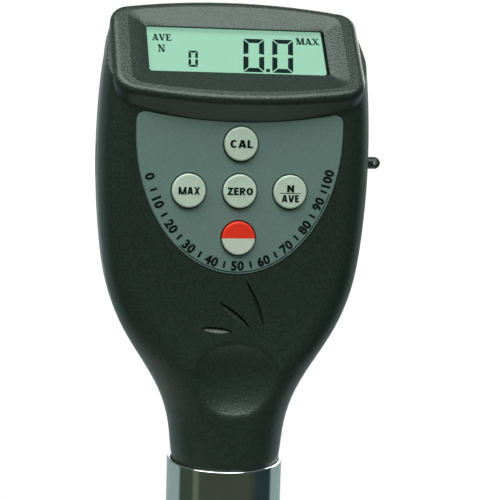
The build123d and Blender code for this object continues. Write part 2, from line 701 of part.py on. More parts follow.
# Battery door, a piece of the case's own back that slides up on two rails
with BuildPart() as battery_door:
    add(back_form.part)
    block((-DOOR_WIDTH / 2, DOOR_WIDTH / 2), (DOOR_INSIDE, 2 * CASE_BACK),
          (DOOR_BOTTOM_Z, DOOR_TOP_Z), Mode.INTERSECT)
    for side in (-1, 1):
        inner = side * (DOOR_WIDTH / 2 - RAIL_ROOT)
        outer = side * (DOOR_WIDTH / 2 + RAIL_REACH)
        edge = side * DOOR_WIDTH / 2
        rail_z = (RIM_Z + RAIL_BOTTOM, RIM_Z + RAIL_BOTTOM + RAIL_LENGTH)
        block(sorted((inner, edge)), (DOOR_INSIDE - RAIL_HEIGHT, DOOR_INSIDE), rail_z)
        block(sorted((edge, outer)), (DOOR_INSIDE - RAIL_HEIGHT, DOOR_INSIDE), rail_z)
    with BuildSketch(Plane.YZ) as grips:
        with Locations(*[(CASE_BACK, RIM_Z + GRIP_BOTTOM + i * GRIP_PITCH) for i in range(GRIP_COUNT)]):
            Circle(GRIP_RADIUS)
    extrude(grips.sketch, amount=GRIP_WIDTH / 2, both=True, mode=Mode.SUBTRACT)
keep(battery_door, "battery_door")

# Display: window, liquid crystal cell, frame, contact strips and board
with BuildPart() as display_window:
    slope_plate(LENS_WIDTH, LENS_UP, LENS_DOWN, LENS_FRONT, LENS_BACK)
    slope_plate(WINDOW_WIDTH - 2 * PLAY, WINDOW_UP - PLAY, WINDOW_DOWN - PLAY,
                LENS_FRONT - LENS_RAISE, LENS_FRONT, WINDOW_CORNER)
keep(display_window, "display_window")

with BuildPart() as lcd_glass:
    slope_plate(LCD_WIDTH, LCD_HEIGHT / 2, LCD_HEIGHT / 2, LCD_FRONT, LCD_BACK)
keep(lcd_glass, "lcd_glass")

with BuildPart() as lcd_frame:
    slope_plate(FRAME_WIDTH, FRAME_UP, FRAME_DOWN, LCD_FRONT, DISPLAY_BOARD_FRONT)
    seat = LCD_HEIGHT / 2 + PLAY
    slope_plate(LCD_WIDTH + 2 * PLAY, seat, seat, LCD_FRONT, DISPLAY_BOARD_FRONT, mode=Mode.SUBTRACT)
keep(lcd_frame, "lcd_frame")

with BuildPart() as zebra_strips:
    near = ZEBRA_OFFSET - ZEBRA_DEPTH / 2
    far = ZEBRA_OFFSET + ZEBRA_DEPTH / 2
    slope_plate(ZEBRA_WIDTH, far, -near, LCD_BACK, DISPLAY_BOARD_FRONT)
    slope_plate(ZEBRA_WIDTH, -near, far, LCD_BACK, DISPLAY_BOARD_FRONT)
keep(zebra_strips, "zebra_strips")

display_board_back = DISPLAY_BOARD_FRONT + DISPLAY_BOARD_THICKNESS
with BuildPart() as display_board:
    slope_plate(DISPLAY_BOARD_WIDTH, DISPLAY_BOARD_UP, DISPLAY_BOARD_DOWN, DISPLAY_BOARD_FRONT,
                display_board_back, DISPLAY_BOARD_CORNER)
    cylinder_on_face(BOARD_SCREW_RADIUS + PLAY, DISPLAY_BOARD_FRONT, display_board_back,
                     display_screw_spots(), Mode.SUBTRACT)
keep(display_board, "display_board")

with BuildPart() as display_screws:
    cylinder_on_face(BOARD_SCREW_RADIUS, LENS_BACK + PLAY, display_board_back, display_screw_spots())
    cylinder_on_face(BOARD_SCREW_HEAD, display_board_back, display_board_back + BOARD_SCREW_HEAD_HEIGHT,
                     display_screw_spots())
keep(display_screws, "display_screws")

# Keypad: panel, keys, rubber mat and main board
with BuildPart() as keypad_panel:
    extrude(upright(-CASE_FRONT) * panel_outline(PLAY), amount=-PANEL_THICKNESS)
    chamfer(keypad_panel.edges().group_by(Axis.Y)[0], PANEL_EDGE)
    cylinder_along_y(KEY_RADIUS + KEY_GAP, 0, -CASE_FRONT, key_spots().values(), Mode.SUBTRACT)
keep(keypad_panel, "keypad_panel")

for name, spot in key_spots().items():
    with BuildPart() as key:
        cylinder_along_y(KEY_RADIUS, KEY_FLANGE_FRONT, -CASE_FRONT - KEY_PROUD, [spot])
        fillet(key.edges().group_by(Axis.Y)[0], KEY_EDGE)
        cylinder_along_y(KEY_FLANGE, KEY_FLANGE_BACK, KEY_FLANGE_FRONT, [spot])
    keep(key, name)

with BuildPart() as key_mat:
    with BuildSketch(upright(BOARD_FRONT)):
        with Locations((0, KEY_Z)):
            RectangleRounded(MAT_WIDTH, MAT_HEIGHT, MAT_CORNER)
    extrude(amount=MAT_THICKNESS)
    with BuildSketch(upright(MAT_FRONT)):
        with Locations(*key_spots().values()):
            Circle(DOME_RADIUS)
    extrude(amount=DOME_HEIGHT, taper=DOME_TAPER)
keep(key_mat, "key_mat")

with BuildPart() as main_board:
    with BuildSketch(upright(BOARD_BACK)):
        with Locations((0, BOARD_Z)):
            RectangleRounded(BOARD_WIDTH, BOARD_HEIGHT, BOARD_CORNER)
    extrude(amount=BOARD_THICKNESS)
    cylinder_along_y(BOARD_SCREW_RADIUS + PLAY, BOARD_BACK, BOARD_FRONT, board_screw_spots(), Mode.SUBTRACT)
keep(main_board, "main_board")

with BuildPart() as board_screws:
    cylinder_along_y(BOARD_SCREW_RADIUS, BOARD_BACK, BOARD_BACK - BOARD_SCREW_LENGTH, board_screw_spots())
    cylinder_along_y(BOARD_SCREW_HEAD, BOARD_BACK + BOARD_SCREW_HEAD_HEIGHT, BOARD_BACK, board_screw_spots())
keep(board_screws, "board_screws")

lead_plug_z = BOARD_Z - LEAD_PLUG_DROP
ribbon_plug_z = BOARD_Z + RIBBON_PLUG_RISE
with BuildPart() as board_components:
    for width, height, thickness, x, z in CHIPS:
        on_board((width, height, thickness), x, BOARD_Z + z)
    cylinder_along_y(CAPACITOR_RADIUS, BOARD_BACK + CAPACITOR_HEIGHT, BOARD_BACK,
                     [(x, BOARD_Z + z) for x, z in CAPACITORS])
    on_board(LEAD_PLUG, 0, lead_plug_z)
    on_board(RIBBON_PLUG, 0, ribbon_plug_z)
keep(board_components, "board_components")

ribbon_start = FACE_CENTRE - UP_SLOPE * RIBBON_DOWN - FACE_NORMAL * display_board_back
ribbon_lap = ribbon_start + UP_SLOPE * RIBBON_LAP
ribbon_y = BOARD_BACK + RIBBON_PLUG[2] / 2
ribbon_z = ribbon_plug_z + RIBBON_PLUG[1] / 2
with BuildPart() as display_ribbon:
    with BuildSketch(Plane.YZ):
        with BuildLine():
            Polyline(
                (ribbon_start.Y, ribbon_start.Z),
                (ribbon_lap.Y, ribbon_lap.Z),
                (ribbon_y + RIBBON_THICKNESS, ribbon_z),
                (ribbon_y, ribbon_z),
                close=True,
            )
        make_face()
    extrude(amount=RIBBON_WIDTH / 2, both=True)
keep(display_ribbon, "display_ribbon")

# Side fittings: data socket on the left, lanyard post on the right
socket_face = SKIN - CASE_WIDTH / 2
socket_wall = WALL + SOCKET_SEAT - CASE_WIDTH / 2
with BuildPart() as data_socket:
    with BuildSketch(Plane.YZ.offset(socket_face)):
        with Locations((SOCKET_DEPTH, SOCKET_Z)):
            Circle(SOCKET_NOSE)
    extrude(amount=socket_wall - socket_face)
    with BuildSketch(Plane.YZ.offset(socket_wall)):
        with Locations((SOCKET_DEPTH, SOCKET_Z)):
            Circle(SOCKET_FLANGE)
    extrude(amount=SOCKET_FLANGE_THICKNESS)
    with BuildSketch(Plane.YZ.offset(socket_wall)):
        with Locations((SOCKET_DEPTH, SOCKET_Z)):
            Rectangle(SOCKET_BODY, SOCKET_BODY)
    extrude(amount=socket_face + SOCKET_LENGTH - socket_wall)
    add(back_form.part, mode=Mode.INTERSECT)
    with BuildSketch(Plane.YZ.offset(socket_face)):
        with Locations((SOCKET_DEPTH, SOCKET_Z)):
            Circle(SOCKET_BORE)
    extrude(amount=SOCKET_BORE_DEPTH, mode=Mode.SUBTRACT)
keep(data_socket, "data_socket")

post_wall = CASE_WIDTH / 2 - WALL - PLAY
post_end = POST_REACH - POST_RADIUS
with BuildPart() as lanyard_post:
    with BuildSketch(Plane.YZ.offset(post_wall - POST_FLANGE_THICKNESS)):
        with Locations((0, POST_Z)):
            Circle(POST_FLANGE)
    extrude(amount=POST_FLANGE_THICKNESS)
    with BuildSketch(Plane.YZ.offset(post_wall)):
        with Locations((0, POST_Z)):
            Circle(POST_RADIUS)
    extrude(amount=post_end - post_wall)
    with Locations((post_end, 0, POST_Z)):
        Sphere(POST_RADIUS)
    cylinder_along_y(CORD_HOLE, 2 * POST_RADIUS, -2 * POST_RADIUS, [(post_end, POST_Z)], Mode.SUBTRACT)
keep(lanyard_post, "lanyard_post")

# Case screws, with a driver slot
with BuildPart() as case_screws:
    screw_top = CASE_SCREW_SEAT + CASE_SCREW_HEAD_HEIGHT
    cylinder_along_y(CASE_SCREW_RADIUS, CASE_SCREW_SEAT, CASE_SCREW_SEAT - CASE_SCREW_LENGTH, screw_spots())
    cylinder_along_y(CASE_SCREW_HEAD, screw_top, CASE_SCREW_SEAT, screw_spots())
    with BuildSketch(upright(screw_top)) as slots:
        with Locations(*screw_spots()):
            Rectangle(2 * CASE_SCREW_HEAD, CASE_SCREW_SLOT)
    extrude(slots.sketch, amount=CASE_SCREW_HEAD_HEIGHT / 2, mode=Mode.SUBTRACT)
keep(case_screws, "case_screws")

# Four cells, turned end for end in turn, with a spring at one end and a stud at the other
cell_bottom = BAY_BOTTOM_Z + CONTACT_ROOM
cell_top = cell_bottom + CELL_LENGTH
with BuildPart() as battery_cells:
    for i, x in enumerate(cell_spots()):
        nub_up = i % 2 == 0
        low = cell_bottom if nub_up else cell_bottom + CELL_NUB_HEIGHT
        with BuildSketch(Plane.XY.offset(low)):
            with Locations((x, CELL_Y)):
                Circle(CELL_RADIUS)
        extrude(amount=CELL_LENGTH - CELL_NUB_HEIGHT)
        nub_z = cell_top - CELL_NUB_HEIGHT if nub_up else cell_bottom
        with BuildSketch(Plane.XY.offset(nub_z)):
            with Locations((x, CELL_Y)):
                Circle(CELL_NUB_RADIUS)
        extrude(amount=CELL_NUB_HEIGHT)
    fillet(battery_cells.edges().filter_by(GeomType.CIRCLE).filter_by(
        lambda edge: abs(edge.radius - CELL_RADIUS) < SKIN), CELL_EDGE)
keep(battery_cells, "battery_cells")

contact_half = CONTACT_WIDTH / 2
stud_length = CONTACT_ROOM - CONTACT_THICKNESS - SKIN
with BuildPart() as battery_contacts:
    for i, x in enumerate(cell_spots()):
        plate_x = (x - contact_half, x + contact_half)
        plate_y = (CELL_Y - contact_half, CELL_Y + contact_half)
        block(plate_x, plate_y, (BAY_BOTTOM_Z, BAY_BOTTOM_Z + CONTACT_THICKNESS))
        block(plate_x, plate_y, (BAY_TOP_Z - CONTACT_THICKNESS, BAY_TOP_Z))
        stud_up = i % 2 == 1
        stud_z = BAY_BOTTOM_Z + CONTACT_THICKNESS if stud_up else BAY_TOP_Z - CONTACT_THICKNESS
        with BuildSketch(Plane.XY.offset(stud_z)):
            with Locations((x, CELL_Y)):
                Circle(CELL_NUB_RADIUS)
        extrude(amount=stud_length if stud_up else -stud_length)
keep(battery_contacts, "battery_contacts")

spring_room = CONTACT_ROOM - CONTACT_THICKNESS - 2 * SKIN
with BuildPart() as battery_springs:
    for i, x in enumerate(cell_spots()):
        at_bottom = i % 2 == 0
        low = BAY_BOTTOM_Z + CONTACT_THICKNESS if at_bottom else cell_top
        radii = (CONTACT_SPRING_BASE, CONTACT_SPRING_TIP)
        coil(Vector(x, CELL_Y, low + SKIN + CONTACT_SPRING_WIRE), *(radii if at_bottom else radii[::-1]),
             CONTACT_SPRING_TURNS, spring_room - 2 * CONTACT_SPRING_WIRE, CONTACT_SPRING_WIRE)
keep(battery_springs, "battery_springs")

# Measuring head: barrel, foot, sleeve and bushes that stay still
with BuildPart() as barrel:
    cylinder_along_z(BARREL_RADIUS, FOOT_HEIGHT, RIM_Z)
    fillet(barrel.edges().group_by(Axis.Z)[0], BARREL_EDGE)
    cylinder_along_z(BARREL_RADIUS - BARREL_WALL, FLOOR_TOP, RIM_Z, mode=Mode.SUBTRACT)
    fillet(barrel.edges().group_by(Axis.Z)[-1], RIM_EDGE)
    cylinder_along_z(STEM_RADIUS + PLAY, FOOT_HEIGHT, FLOOR_TOP, mode=Mode.SUBTRACT)
keep(barrel, "barrel")

with BuildPart() as presser_foot:
    cylinder_along_z(FOOT_RADIUS, 0, FOOT_HEIGHT)
    chamfer(presser_foot.edges().group_by(Axis.Z)[0], FOOT_EDGE)
    cylinder_along_z(STEM_RADIUS, FOOT_HEIGHT, STEM_TOP)
    cylinder_along_z(BUSH_RADIUS + SKIN, FOOT_SOLE, STEM_TOP, mode=Mode.SUBTRACT)
    cylinder_along_z(FOOT_HOLE, 0, FOOT_SOLE, mode=Mode.SUBTRACT)
    cylinder_along_z(FOOT_RADIUS, FOOT_GRIP_BOTTOM, FOOT_GRIP_BOTTOM + FOOT_GRIP_WIDTH,
                     FOOT_RADIUS - FOOT_GRIP_DEPTH, Mode.SUBTRACT)
keep(presser_foot, "presser_foot")

with BuildPart() as lock_ring:
    cylinder_along_z(LOCK_RING_RADIUS, FLOOR_TOP, SLEEVE_BOTTOM, STEM_RADIUS + SKIN)
keep(lock_ring, "lock_ring")

with BuildPart() as head_sleeve:
    cylinder_along_z(SLEEVE_RADIUS, SLEEVE_BOTTOM, SLEEVE_TOP)
    cylinder_along_z(FLANGE_RADIUS, SLEEVE_TOP - FLANGE_HEIGHT, SLEEVE_TOP)
    cylinder_along_z(STEM_RADIUS + SKIN, SLEEVE_BOTTOM, SLEEVE_TOP, mode=Mode.SUBTRACT)
    cylinder_along_z(SLEEVE_BORE, STEM_TOP - SLEEVE_COUNTERBORE, SLEEVE_TOP, mode=Mode.SUBTRACT)
keep(head_sleeve, "head_sleeve")

with BuildPart() as lower_bush:
    cylinder_along_z(BUSH_RADIUS, FOOT_SOLE + 2 * SPINDLE_LIFT, STEM_TOP - SLEEVE_COUNTERBORE,
                     SPINDLE_RADIUS + RUNNING)
keep(lower_bush, "lower_bush")

with BuildPart() as upper_bush:
    cylinder_along_z(UPPER_BUSH_RADIUS, SPRING_TOP, SPRING_TOP + UPPER_BUSH_HEIGHT,
                     SPINDLE_RADIUS + RUNNING)
keep(upper_bush, "upper_bush")

with BuildPart() as spring_adjuster:
    cylinder_along_z(SLEEVE_BORE - SKIN, SPRING_TOP, SPRING_TOP + ADJUSTER_HEIGHT,
                     UPPER_BUSH_RADIUS + SKIN)
keep(spring_adjuster, "spring_adjuster")

with BuildPart() as measuring_spring:
    coil(Vector(0, 0, COLLAR_TOP + SKIN + SPRING_WIRE), SPRING_RADIUS, SPRING_RADIUS, SPRING_TURNS,
         SPRING_LENGTH - 2 * (SKIN + SPRING_WIRE), SPRING_WIRE)
keep(measuring_spring, "measuring_spring")

# Displacement sensor above the head
tube_radius = BOBBIN_BORE + BOBBIN_TUBE
winding_bottom = BOBBIN_BOTTOM + BOBBIN_BASE_HEIGHT
winding_top = BOBBIN_TOP - BOBBIN_FLANGE_HEIGHT
with BuildPart() as sensor_bobbin:
    cylinder_along_z(BOBBIN_BASE_RADIUS, BOBBIN_BOTTOM, winding_bottom)
    cylinder_along_z(tube_radius, winding_bottom, winding_top)
    cylinder_along_z(BOBBIN_FLANGE, winding_top, BOBBIN_TOP)
    cylinder_along_z(BOBBIN_BORE, BOBBIN_BOTTOM, BOBBIN_TOP, mode=Mode.SUBTRACT)
keep(sensor_bobbin, "sensor_bobbin")

with BuildPart() as sensor_winding:
    cylinder_along_z(WINDING_RADIUS, winding_bottom + SKIN, winding_top - SKIN, tube_radius + SKIN)
keep(sensor_winding, "sensor_winding")

lead_y = BOARD_BACK + LEAD_PLUG[2] / 2
lead_turn = BOBBIN_TOP + LEAD_CLIMB
with BuildPart() as sensor_lead:
    with BuildLine() as lead_route:
        FilletPolyline(
            (0, LEAD_EXIT, BOBBIN_TOP),
            (0, LEAD_EXIT, lead_turn),
            (0, lead_y, lead_turn + LEAD_SWEEP),
            (0, lead_y, lead_plug_z - LEAD_PLUG[1] / 2),
            radius=LEAD_BEND,
        )
    with BuildSketch(Plane.XY.offset(BOBBIN_TOP)):
        with Locations((0, LEAD_EXIT)):
            Circle(LEAD_RADIUS)
    sweep()
keep(sensor_lead, "sensor_lead")

# The plunger: indenter, spindle, spring collar and sensor core, which move together
cone_height = (INDENTER_RADIUS - INDENTER_TIP) / tan(radians(INDENTER_CONE / 2))
indenter_top = SPINDLE_BOTTOM + INDENTER_SEAT
with BuildPart() as indenter:
    with BuildSketch(Plane.XZ):
        with BuildLine():
            Polyline(
                (0, -INDENTER_REACH),
                (INDENTER_TIP, -INDENTER_REACH),
                (INDENTER_RADIUS, cone_height - INDENTER_REACH),
                (INDENTER_RADIUS, indenter_top),
                (0, indenter_top),
                close=True,
            )
        make_face()
    revolve(axis=Axis.Z)
keep(indenter, "indenter")

with BuildPart() as spindle:
    cylinder_along_z(SPINDLE_RADIUS, SPINDLE_BOTTOM, SPINDLE_TOP)
    cylinder_along_z(INDENTER_RADIUS + SKIN, SPINDLE_BOTTOM, indenter_top + SKIN, mode=Mode.SUBTRACT)
keep(spindle, "spindle")

with BuildPart() as spring_collar:
    cylinder_along_z(COLLAR_RADIUS, COLLAR_BOTTOM, COLLAR_TOP, SPINDLE_RADIUS + SKIN)
keep(spring_collar, "spring_collar")

with BuildPart() as sensor_core:
    cylinder_along_z(CORE_RADIUS, SPINDLE_TOP, SPINDLE_TOP + CORE_LENGTH)
keep(sensor_core, "sensor_core")
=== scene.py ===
import json
from math import atan2, cos, pi, radians, sin

import bmesh
import bpy
from mathutils import Matrix, Vector
from mathutils.geometry import delaunay_2d_cdt


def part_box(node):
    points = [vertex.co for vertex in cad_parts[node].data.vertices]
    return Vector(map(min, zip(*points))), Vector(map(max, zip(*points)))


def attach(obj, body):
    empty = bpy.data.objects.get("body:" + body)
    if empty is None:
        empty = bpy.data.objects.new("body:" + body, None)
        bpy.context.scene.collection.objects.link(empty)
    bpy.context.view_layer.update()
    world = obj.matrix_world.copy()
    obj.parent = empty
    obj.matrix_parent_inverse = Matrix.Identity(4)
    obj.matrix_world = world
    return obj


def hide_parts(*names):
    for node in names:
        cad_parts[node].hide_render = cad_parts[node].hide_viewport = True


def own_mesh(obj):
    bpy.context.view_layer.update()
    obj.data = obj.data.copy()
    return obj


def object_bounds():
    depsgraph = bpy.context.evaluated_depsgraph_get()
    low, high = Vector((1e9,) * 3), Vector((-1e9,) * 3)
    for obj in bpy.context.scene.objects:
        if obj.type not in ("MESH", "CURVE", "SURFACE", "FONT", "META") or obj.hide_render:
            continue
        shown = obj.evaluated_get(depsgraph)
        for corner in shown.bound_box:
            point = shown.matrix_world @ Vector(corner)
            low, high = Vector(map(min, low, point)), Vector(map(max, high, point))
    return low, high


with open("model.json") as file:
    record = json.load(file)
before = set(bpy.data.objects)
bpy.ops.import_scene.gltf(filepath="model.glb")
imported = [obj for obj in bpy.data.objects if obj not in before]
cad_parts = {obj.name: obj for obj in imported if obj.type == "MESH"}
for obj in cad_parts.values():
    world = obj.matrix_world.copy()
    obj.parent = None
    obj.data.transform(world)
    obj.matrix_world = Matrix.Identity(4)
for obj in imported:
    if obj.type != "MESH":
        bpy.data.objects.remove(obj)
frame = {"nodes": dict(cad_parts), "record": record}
cad_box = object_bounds()
MM = 0.001

# Camera, in metres, from the photograph's own perspective
CAMERA_PLACE = Vector((-0.0608, -0.3347, 0.1447))
CAMERA_LOOK = Vector((0.191, 0.9734, -0.1268)).normalized()
CAMERA_ROLL = radians(1.72)
CAMERA_LENS = 103.4

# Lights: a soft box above the front, and a fill from behind
LIGHT_AIM = (0, 0, 0.11)
SOFTBOX_PLACE = (-0.18, -0.385, 0.846)
SOFTBOX_SIZE = (1.33, 0.5)
SOFTBOX_POWER = 12.1
FILL_PLACE = (0.55, 0.6, 0.5)
FILL_SIZE = (0.9, 0.6)
FILL_POWER = 5.5

# Surroundings: floor, backdrop, the room's colours and the rise over which they turn into its ceiling
FLOOR_RADIUS = 0.1
FLOOR_GAP = 0.5 * MM
FLOOR_SIDES = 96
BACKDROP_RADIUS = 5.0
BACKDROP_GLOW = 1.05
WHITE = (1.1, 1.1, 1.1)
HAZE = (0.36, 0.47, 0.47)
SHADE = (0.06, 0.085, 0.06)
STREAK = (0.16, 0.19, 0.13)
OLIVE = (0.075, 0.085, 0.06)
NAVY = (0.03, 0.05, 0.052)
CEILING = (0.19, 0.22, 0.2)
CEILING_RISE = (0.2, 0.6)

# Printed ink and the painted shade lines: their thickness, how near two points count as one, the digits
# kept of each, and how they're filled
INK = 0.03 * MM
MERGE = 0.0001 * MM
POINT_DIGITS = 9
INNER_TRIANGLES = 1

# Display: the centre and lean of the hood's face, the ink's depth behind it, and the two edges of the
# painted shade line round the window
FACE_CENTRE = Vector((0, -3.74, 149.942)) * MM
FACE_TILT = radians(39)
INK_DEPTH = 2.49 * MM
# Painted shade: a dark line inside the window's edge that stands for the shaded walls of its recess
WINDOW_SHADE_SIGHT = (-20.9 * MM, -6.81 * MM, 20.75 * MM, 6.4 * MM)
WINDOW_SHADE_REACH = (-22.5 * MM, -7.45 * MM, 22.5 * MM, 7.2 * MM)
WINDOW_SHADE_CORNER = 0.7 * MM
CORNER_STEPS = 8

# What the display shows: digits by left, foot, width, height and lean, and words by middle and size
READING_SHIFT = -0.24 * MM
READING_STROKE = 1.22 * MM
READING_DIGITS = (
    (1.15 * MM, -6.4 * MM, 4.95 * MM, 9.9 * MM, 0.095),
    (7.97 * MM, -6.44 * MM, 5.0 * MM, 10.0 * MM, 0.106),
)
READING_POINT = (
    (6.52 * MM, -6.28 * MM), (7.46 * MM, -6.28 * MM), (7.56 * MM, -5.33 * MM), (6.62 * MM, -5.33 * MM),
)
COUNT_STROKE = 0.62 * MM
COUNT_DIGIT = (-11.6 * MM, -5.38 * MM, 2.2 * MM, 4.78 * MM, 0.074)
DISPLAY_WORDS = (
    ("AVE", -17.27 * MM, 3.1 * MM, 4.5 * MM, 1.97 * MM),
    ("N", -17.51 * MM, -0.14 * MM, 1.7 * MM, 2.2 * MM),
    ("MAX", 17.5 * MM, 3.24 * MM, 5.6 * MM, 2.0 * MM),
)

# Keys: the dark ring of painted shade round each hole, standing for the shaded gap between key and panel,
# and words by width, height and drop below the key's middle
KEYS = ("key_cal", "key_max", "key_zero", "key_average", "key_power")
KEY_HOLE = 4.1 * MM
KEY_GAP_SHADE = 0.11 * MM
KEY_WORDS = (
    ("key_cal", "CAL", 5.3 * MM, 1.85 * MM, 0.0),
    ("key_max", "MAX", 4.95 * MM, 1.75 * MM, 0.0),
    ("key_zero", "ZERO", 6.0 * MM, 1.75 * MM, 0.0),
    ("key_average", "N", 1.65 * MM, 1.65 * MM, -0.78 * MM),
    ("key_average", "AVE", 4.1 * MM, 1.7 * MM, 1.52 * MM),
)
FRACTION_BAR = (4.95 * MM, 0.16 * MM)
FRACTION_DROP = 0.28 * MM

# Drawn letters one unit high: strokes with serifs for the display and plain heavy ones for the keys
THICK = 0.3
THIN = 0.14
SERIF_GAP = 0.05
HEAVY = 0.34
SLAB = 0.23
BLOCK_GAP = 0.12
ARC_STEPS = 24

# Measuring spring
SPRING_WIRE = 0.45 * MM
SPRING_TURNS = 6
TURN_STEPS = 40
WIRE_SIDES = 12

# Keypad panel: the bowl of its outline, the scale printed along it, and a dark line of painted shade along
# part of its edge
BOWL_HEIGHT = 129.5 * MM
BOWL_WIDTH = 24.3 * MM
BOWL_DEPTH = 33.0 * MM
SCALE_INSET = 2.2 * MM
SCALE_START = 0.34
SCALE_TOP = 100
SCALE_STEPS = 20
NUMBER_HEIGHT = 2.3 * MM
NUMBER_BOLD = 0.05
NUMBER_SPACING = 1.1
TICK = (0.5 * MM, 1.6 * MM)
# Painted shade: a dark line just inside the bowl's lower right edge, where the gap at the panel's edge lies
# in shade
EDGE_SHADE_INSET = 0.62 * MM
EDGE_SHADE_WIDTH = 0.22 * MM
EDGE_SHADE_TURNS = (0.3 * pi, 0.86 * pi)
ROUND_STEPS = 72


def new_finish(name, colour, roughness, metallic=0.0, gloss=0.5):
    """A material with its colour, roughness and strength of reflection, ready for a pattern."""
    finish = bpy.data.materials.new(name)
    finish.use_nodes = True
    skin = finish.node_tree.nodes["Principled BSDF"]
    skin.inputs["Base Color"].default_value = (*colour, 1)
    skin.inputs["Roughness"].default_value = roughness
    skin.inputs["Metallic"].default_value = metallic
    skin.inputs["Specular IOR Level"].default_value = gloss
    return finish


def skin_of(finish):
    """The principled node of a material."""
    return finish.node_tree.nodes["Principled BSDF"]


def place_of(finish, stretch=(1, 1, 1)):
    """A place on the piece in its own metres, stretched along the axes."""
    nodes, links = finish.node_tree.nodes, finish.node_tree.links
    place = nodes.new("ShaderNodeTexCoord")
    turn = nodes.new("ShaderNodeMapping")
    turn.inputs["Scale"].default_value = stretch
    links.new(place.outputs["Object"], turn.inputs["Vector"])
    return turn.outputs["Vector"]


def noise(finish, size, detail=2.0, stretch=(1, 1, 1)):
    """Cloudy noise whose grains are about that size in metres."""
    texture = finish.node_tree.nodes.new("ShaderNodeTexNoise")
    texture.inputs["Scale"].default_value = 1 / size
    texture.inputs["Detail"].default_value = detail
    finish.node_tree.links.new(place_of(finish, stretch), texture.inputs["Vector"])
    return texture.outputs["Fac"]


def stripes(finish, pitch, direction):
    """Even stripes across one axis, with that distance between them. The plain wave is pi / 10 long."""
    texture = finish.node_tree.nodes.new("ShaderNodeTexWave")
    texture.bands_direction = direction
    texture.inputs["Scale"].default_value = pi / (10 * pitch)
    finish.node_tree.links.new(place_of(finish), texture.inputs["Vector"])
    return texture.outputs["Fac"]


def height_on(finish, axis, low, high):
    """How far a place lies between two values of one axis, from 0 to 1."""
    nodes, links = finish.node_tree.nodes, finish.node_tree.links
    parts = nodes.new("ShaderNodeSeparateXYZ")
    links.new(place_of(finish), parts.inputs["Vector"])
    span = nodes.new("ShaderNodeMapRange")
    span.inputs["From Min"].default_value = low
    span.inputs["From Max"].default_value = high
    links.new(parts.outputs[axis], span.inputs["Value"])
    return span.outputs["Result"]


def colour_by(finish, amount, stops, interpolation="LINEAR"):
    """Colours the material by an amount from 0 to 1, through the given stops."""
    ramp = finish.node_tree.nodes.new("ShaderNodeValToRGB")
    fill_ramp(ramp.color_ramp, stops, interpolation)
    finish.node_tree.links.new(amount, ramp.inputs["Fac"])
    finish.node_tree.links.new(ramp.outputs["Color"], skin_of(finish).inputs["Base Color"])


def fill_ramp(ramp, stops, interpolation="LINEAR"):
    """Sets a colour ramp's stops, each a position and a colour."""
    ramp.interpolation = interpolation
    while len(ramp.elements) < len(stops):
        ramp.elements.new(1.0)
    for element, (position, colour) in zip(ramp.elements, stops):
        element.position = position
        element.color = (*colour, 1)


def mottle(finish, amount, colour, spread):
    """Lets the colour wander by a share of itself."""
    dark = [c * (1 - spread) for c in colour]
    light = [c * (1 + spread) for c in colour]
    colour_by(finish, amount, [(0.3, dark), (0.7, light)])


def wear(finish, amount, low, high):
    """Lets the roughness wander between two values."""
    span = finish.node_tree.nodes.new("ShaderNodeMapRange")
    span.inputs["To Min"].default_value = low
    span.inputs["To Max"].default_value = high
    finish.node_tree.links.new(amount, span.inputs["Value"])
    finish.node_tree.links.new(span.outputs["Result"], skin_of(finish).inputs["Roughness"])


def emboss(finish, amount, depth, strength):
    """Raises the surface by a pattern, to a depth in metres."""
    bump = finish.node_tree.nodes.new("ShaderNodeBump")
    bump.inputs["Strength"].default_value = strength
    bump.inputs["Distance"].default_value = depth
    finish.node_tree.links.new(amount, bump.inputs["Height"])
    finish.node_tree.links.new(bump.outputs["Normal"], skin_of(finish).inputs["Normal"])


def grained(name, colour, roughness, grain, depth, spread=0.1, metallic=0.0, gloss=0.5):
    """A moulded or cast finish: mottled colour, uneven roughness and a fine grain."""
    finish = new_finish(name, colour, roughness, metallic, gloss)
    fine = noise(finish, grain)
    mottle(finish, noise(finish, 12 * grain, 3.0), colour, spread)
    wear(finish, fine, roughness - 0.06, roughness + 0.06)
    emboss(finish, fine, depth, 0.5)
    return finish


def brushed(name, colour, roughness, stretch):
    """Machined metal with fine lines along the stretched axis."""
    finish = new_finish(name, colour, roughness, 1.0)
    lines = noise(finish, 0.3 * MM, 3.0, stretch)
    mottle(finish, lines, colour, 0.12)
    wear(finish, lines, roughness - 0.07, roughness + 0.07)
    emboss(finish, lines, 0.006 * MM, 0.4)
    return finish


def case_plastic():
    """Dark charcoal plastic with a spark-eroded texture."""
    colour = (0.0176, 0.0302, 0.0228)
    finish = new_finish("case_plastic", colour, 0.32)
    skin_of(finish).inputs["Specular Tint"].default_value = (0.86, 1.0, 0.93, 1)
    fine = noise(finish, 0.42 * MM)
    mottle(finish, noise(finish, 0.5 * MM, 4.0), colour, 0.35)
    wear(finish, fine, 0.25, 0.38)
    emboss(finish, fine, 0.1 * MM, 0.7)
    return finish


def panel_sheet():
    """Grey-green printed sheet with a faint dither."""
    colour = (0.149, 0.241, 0.216)
    finish = new_finish("panel_sheet", colour, 0.5, gloss=0.3)
    mottle(finish, noise(finish, 0.6 * MM, 3.0), colour, 0.08)
    wear(finish, noise(finish, 3 * MM), 0.45, 0.55)
    emboss(finish, noise(finish, 0.2 * MM), 0.006 * MM, 0.3)
    return finish


def key_plastic():
    """Pale moulded plastic of the four round keys."""
    return grained("key_plastic", (0.56, 0.7, 0.575), 0.42, 0.25 * MM, 0.012 * MM, 0.06, gloss=0.4)


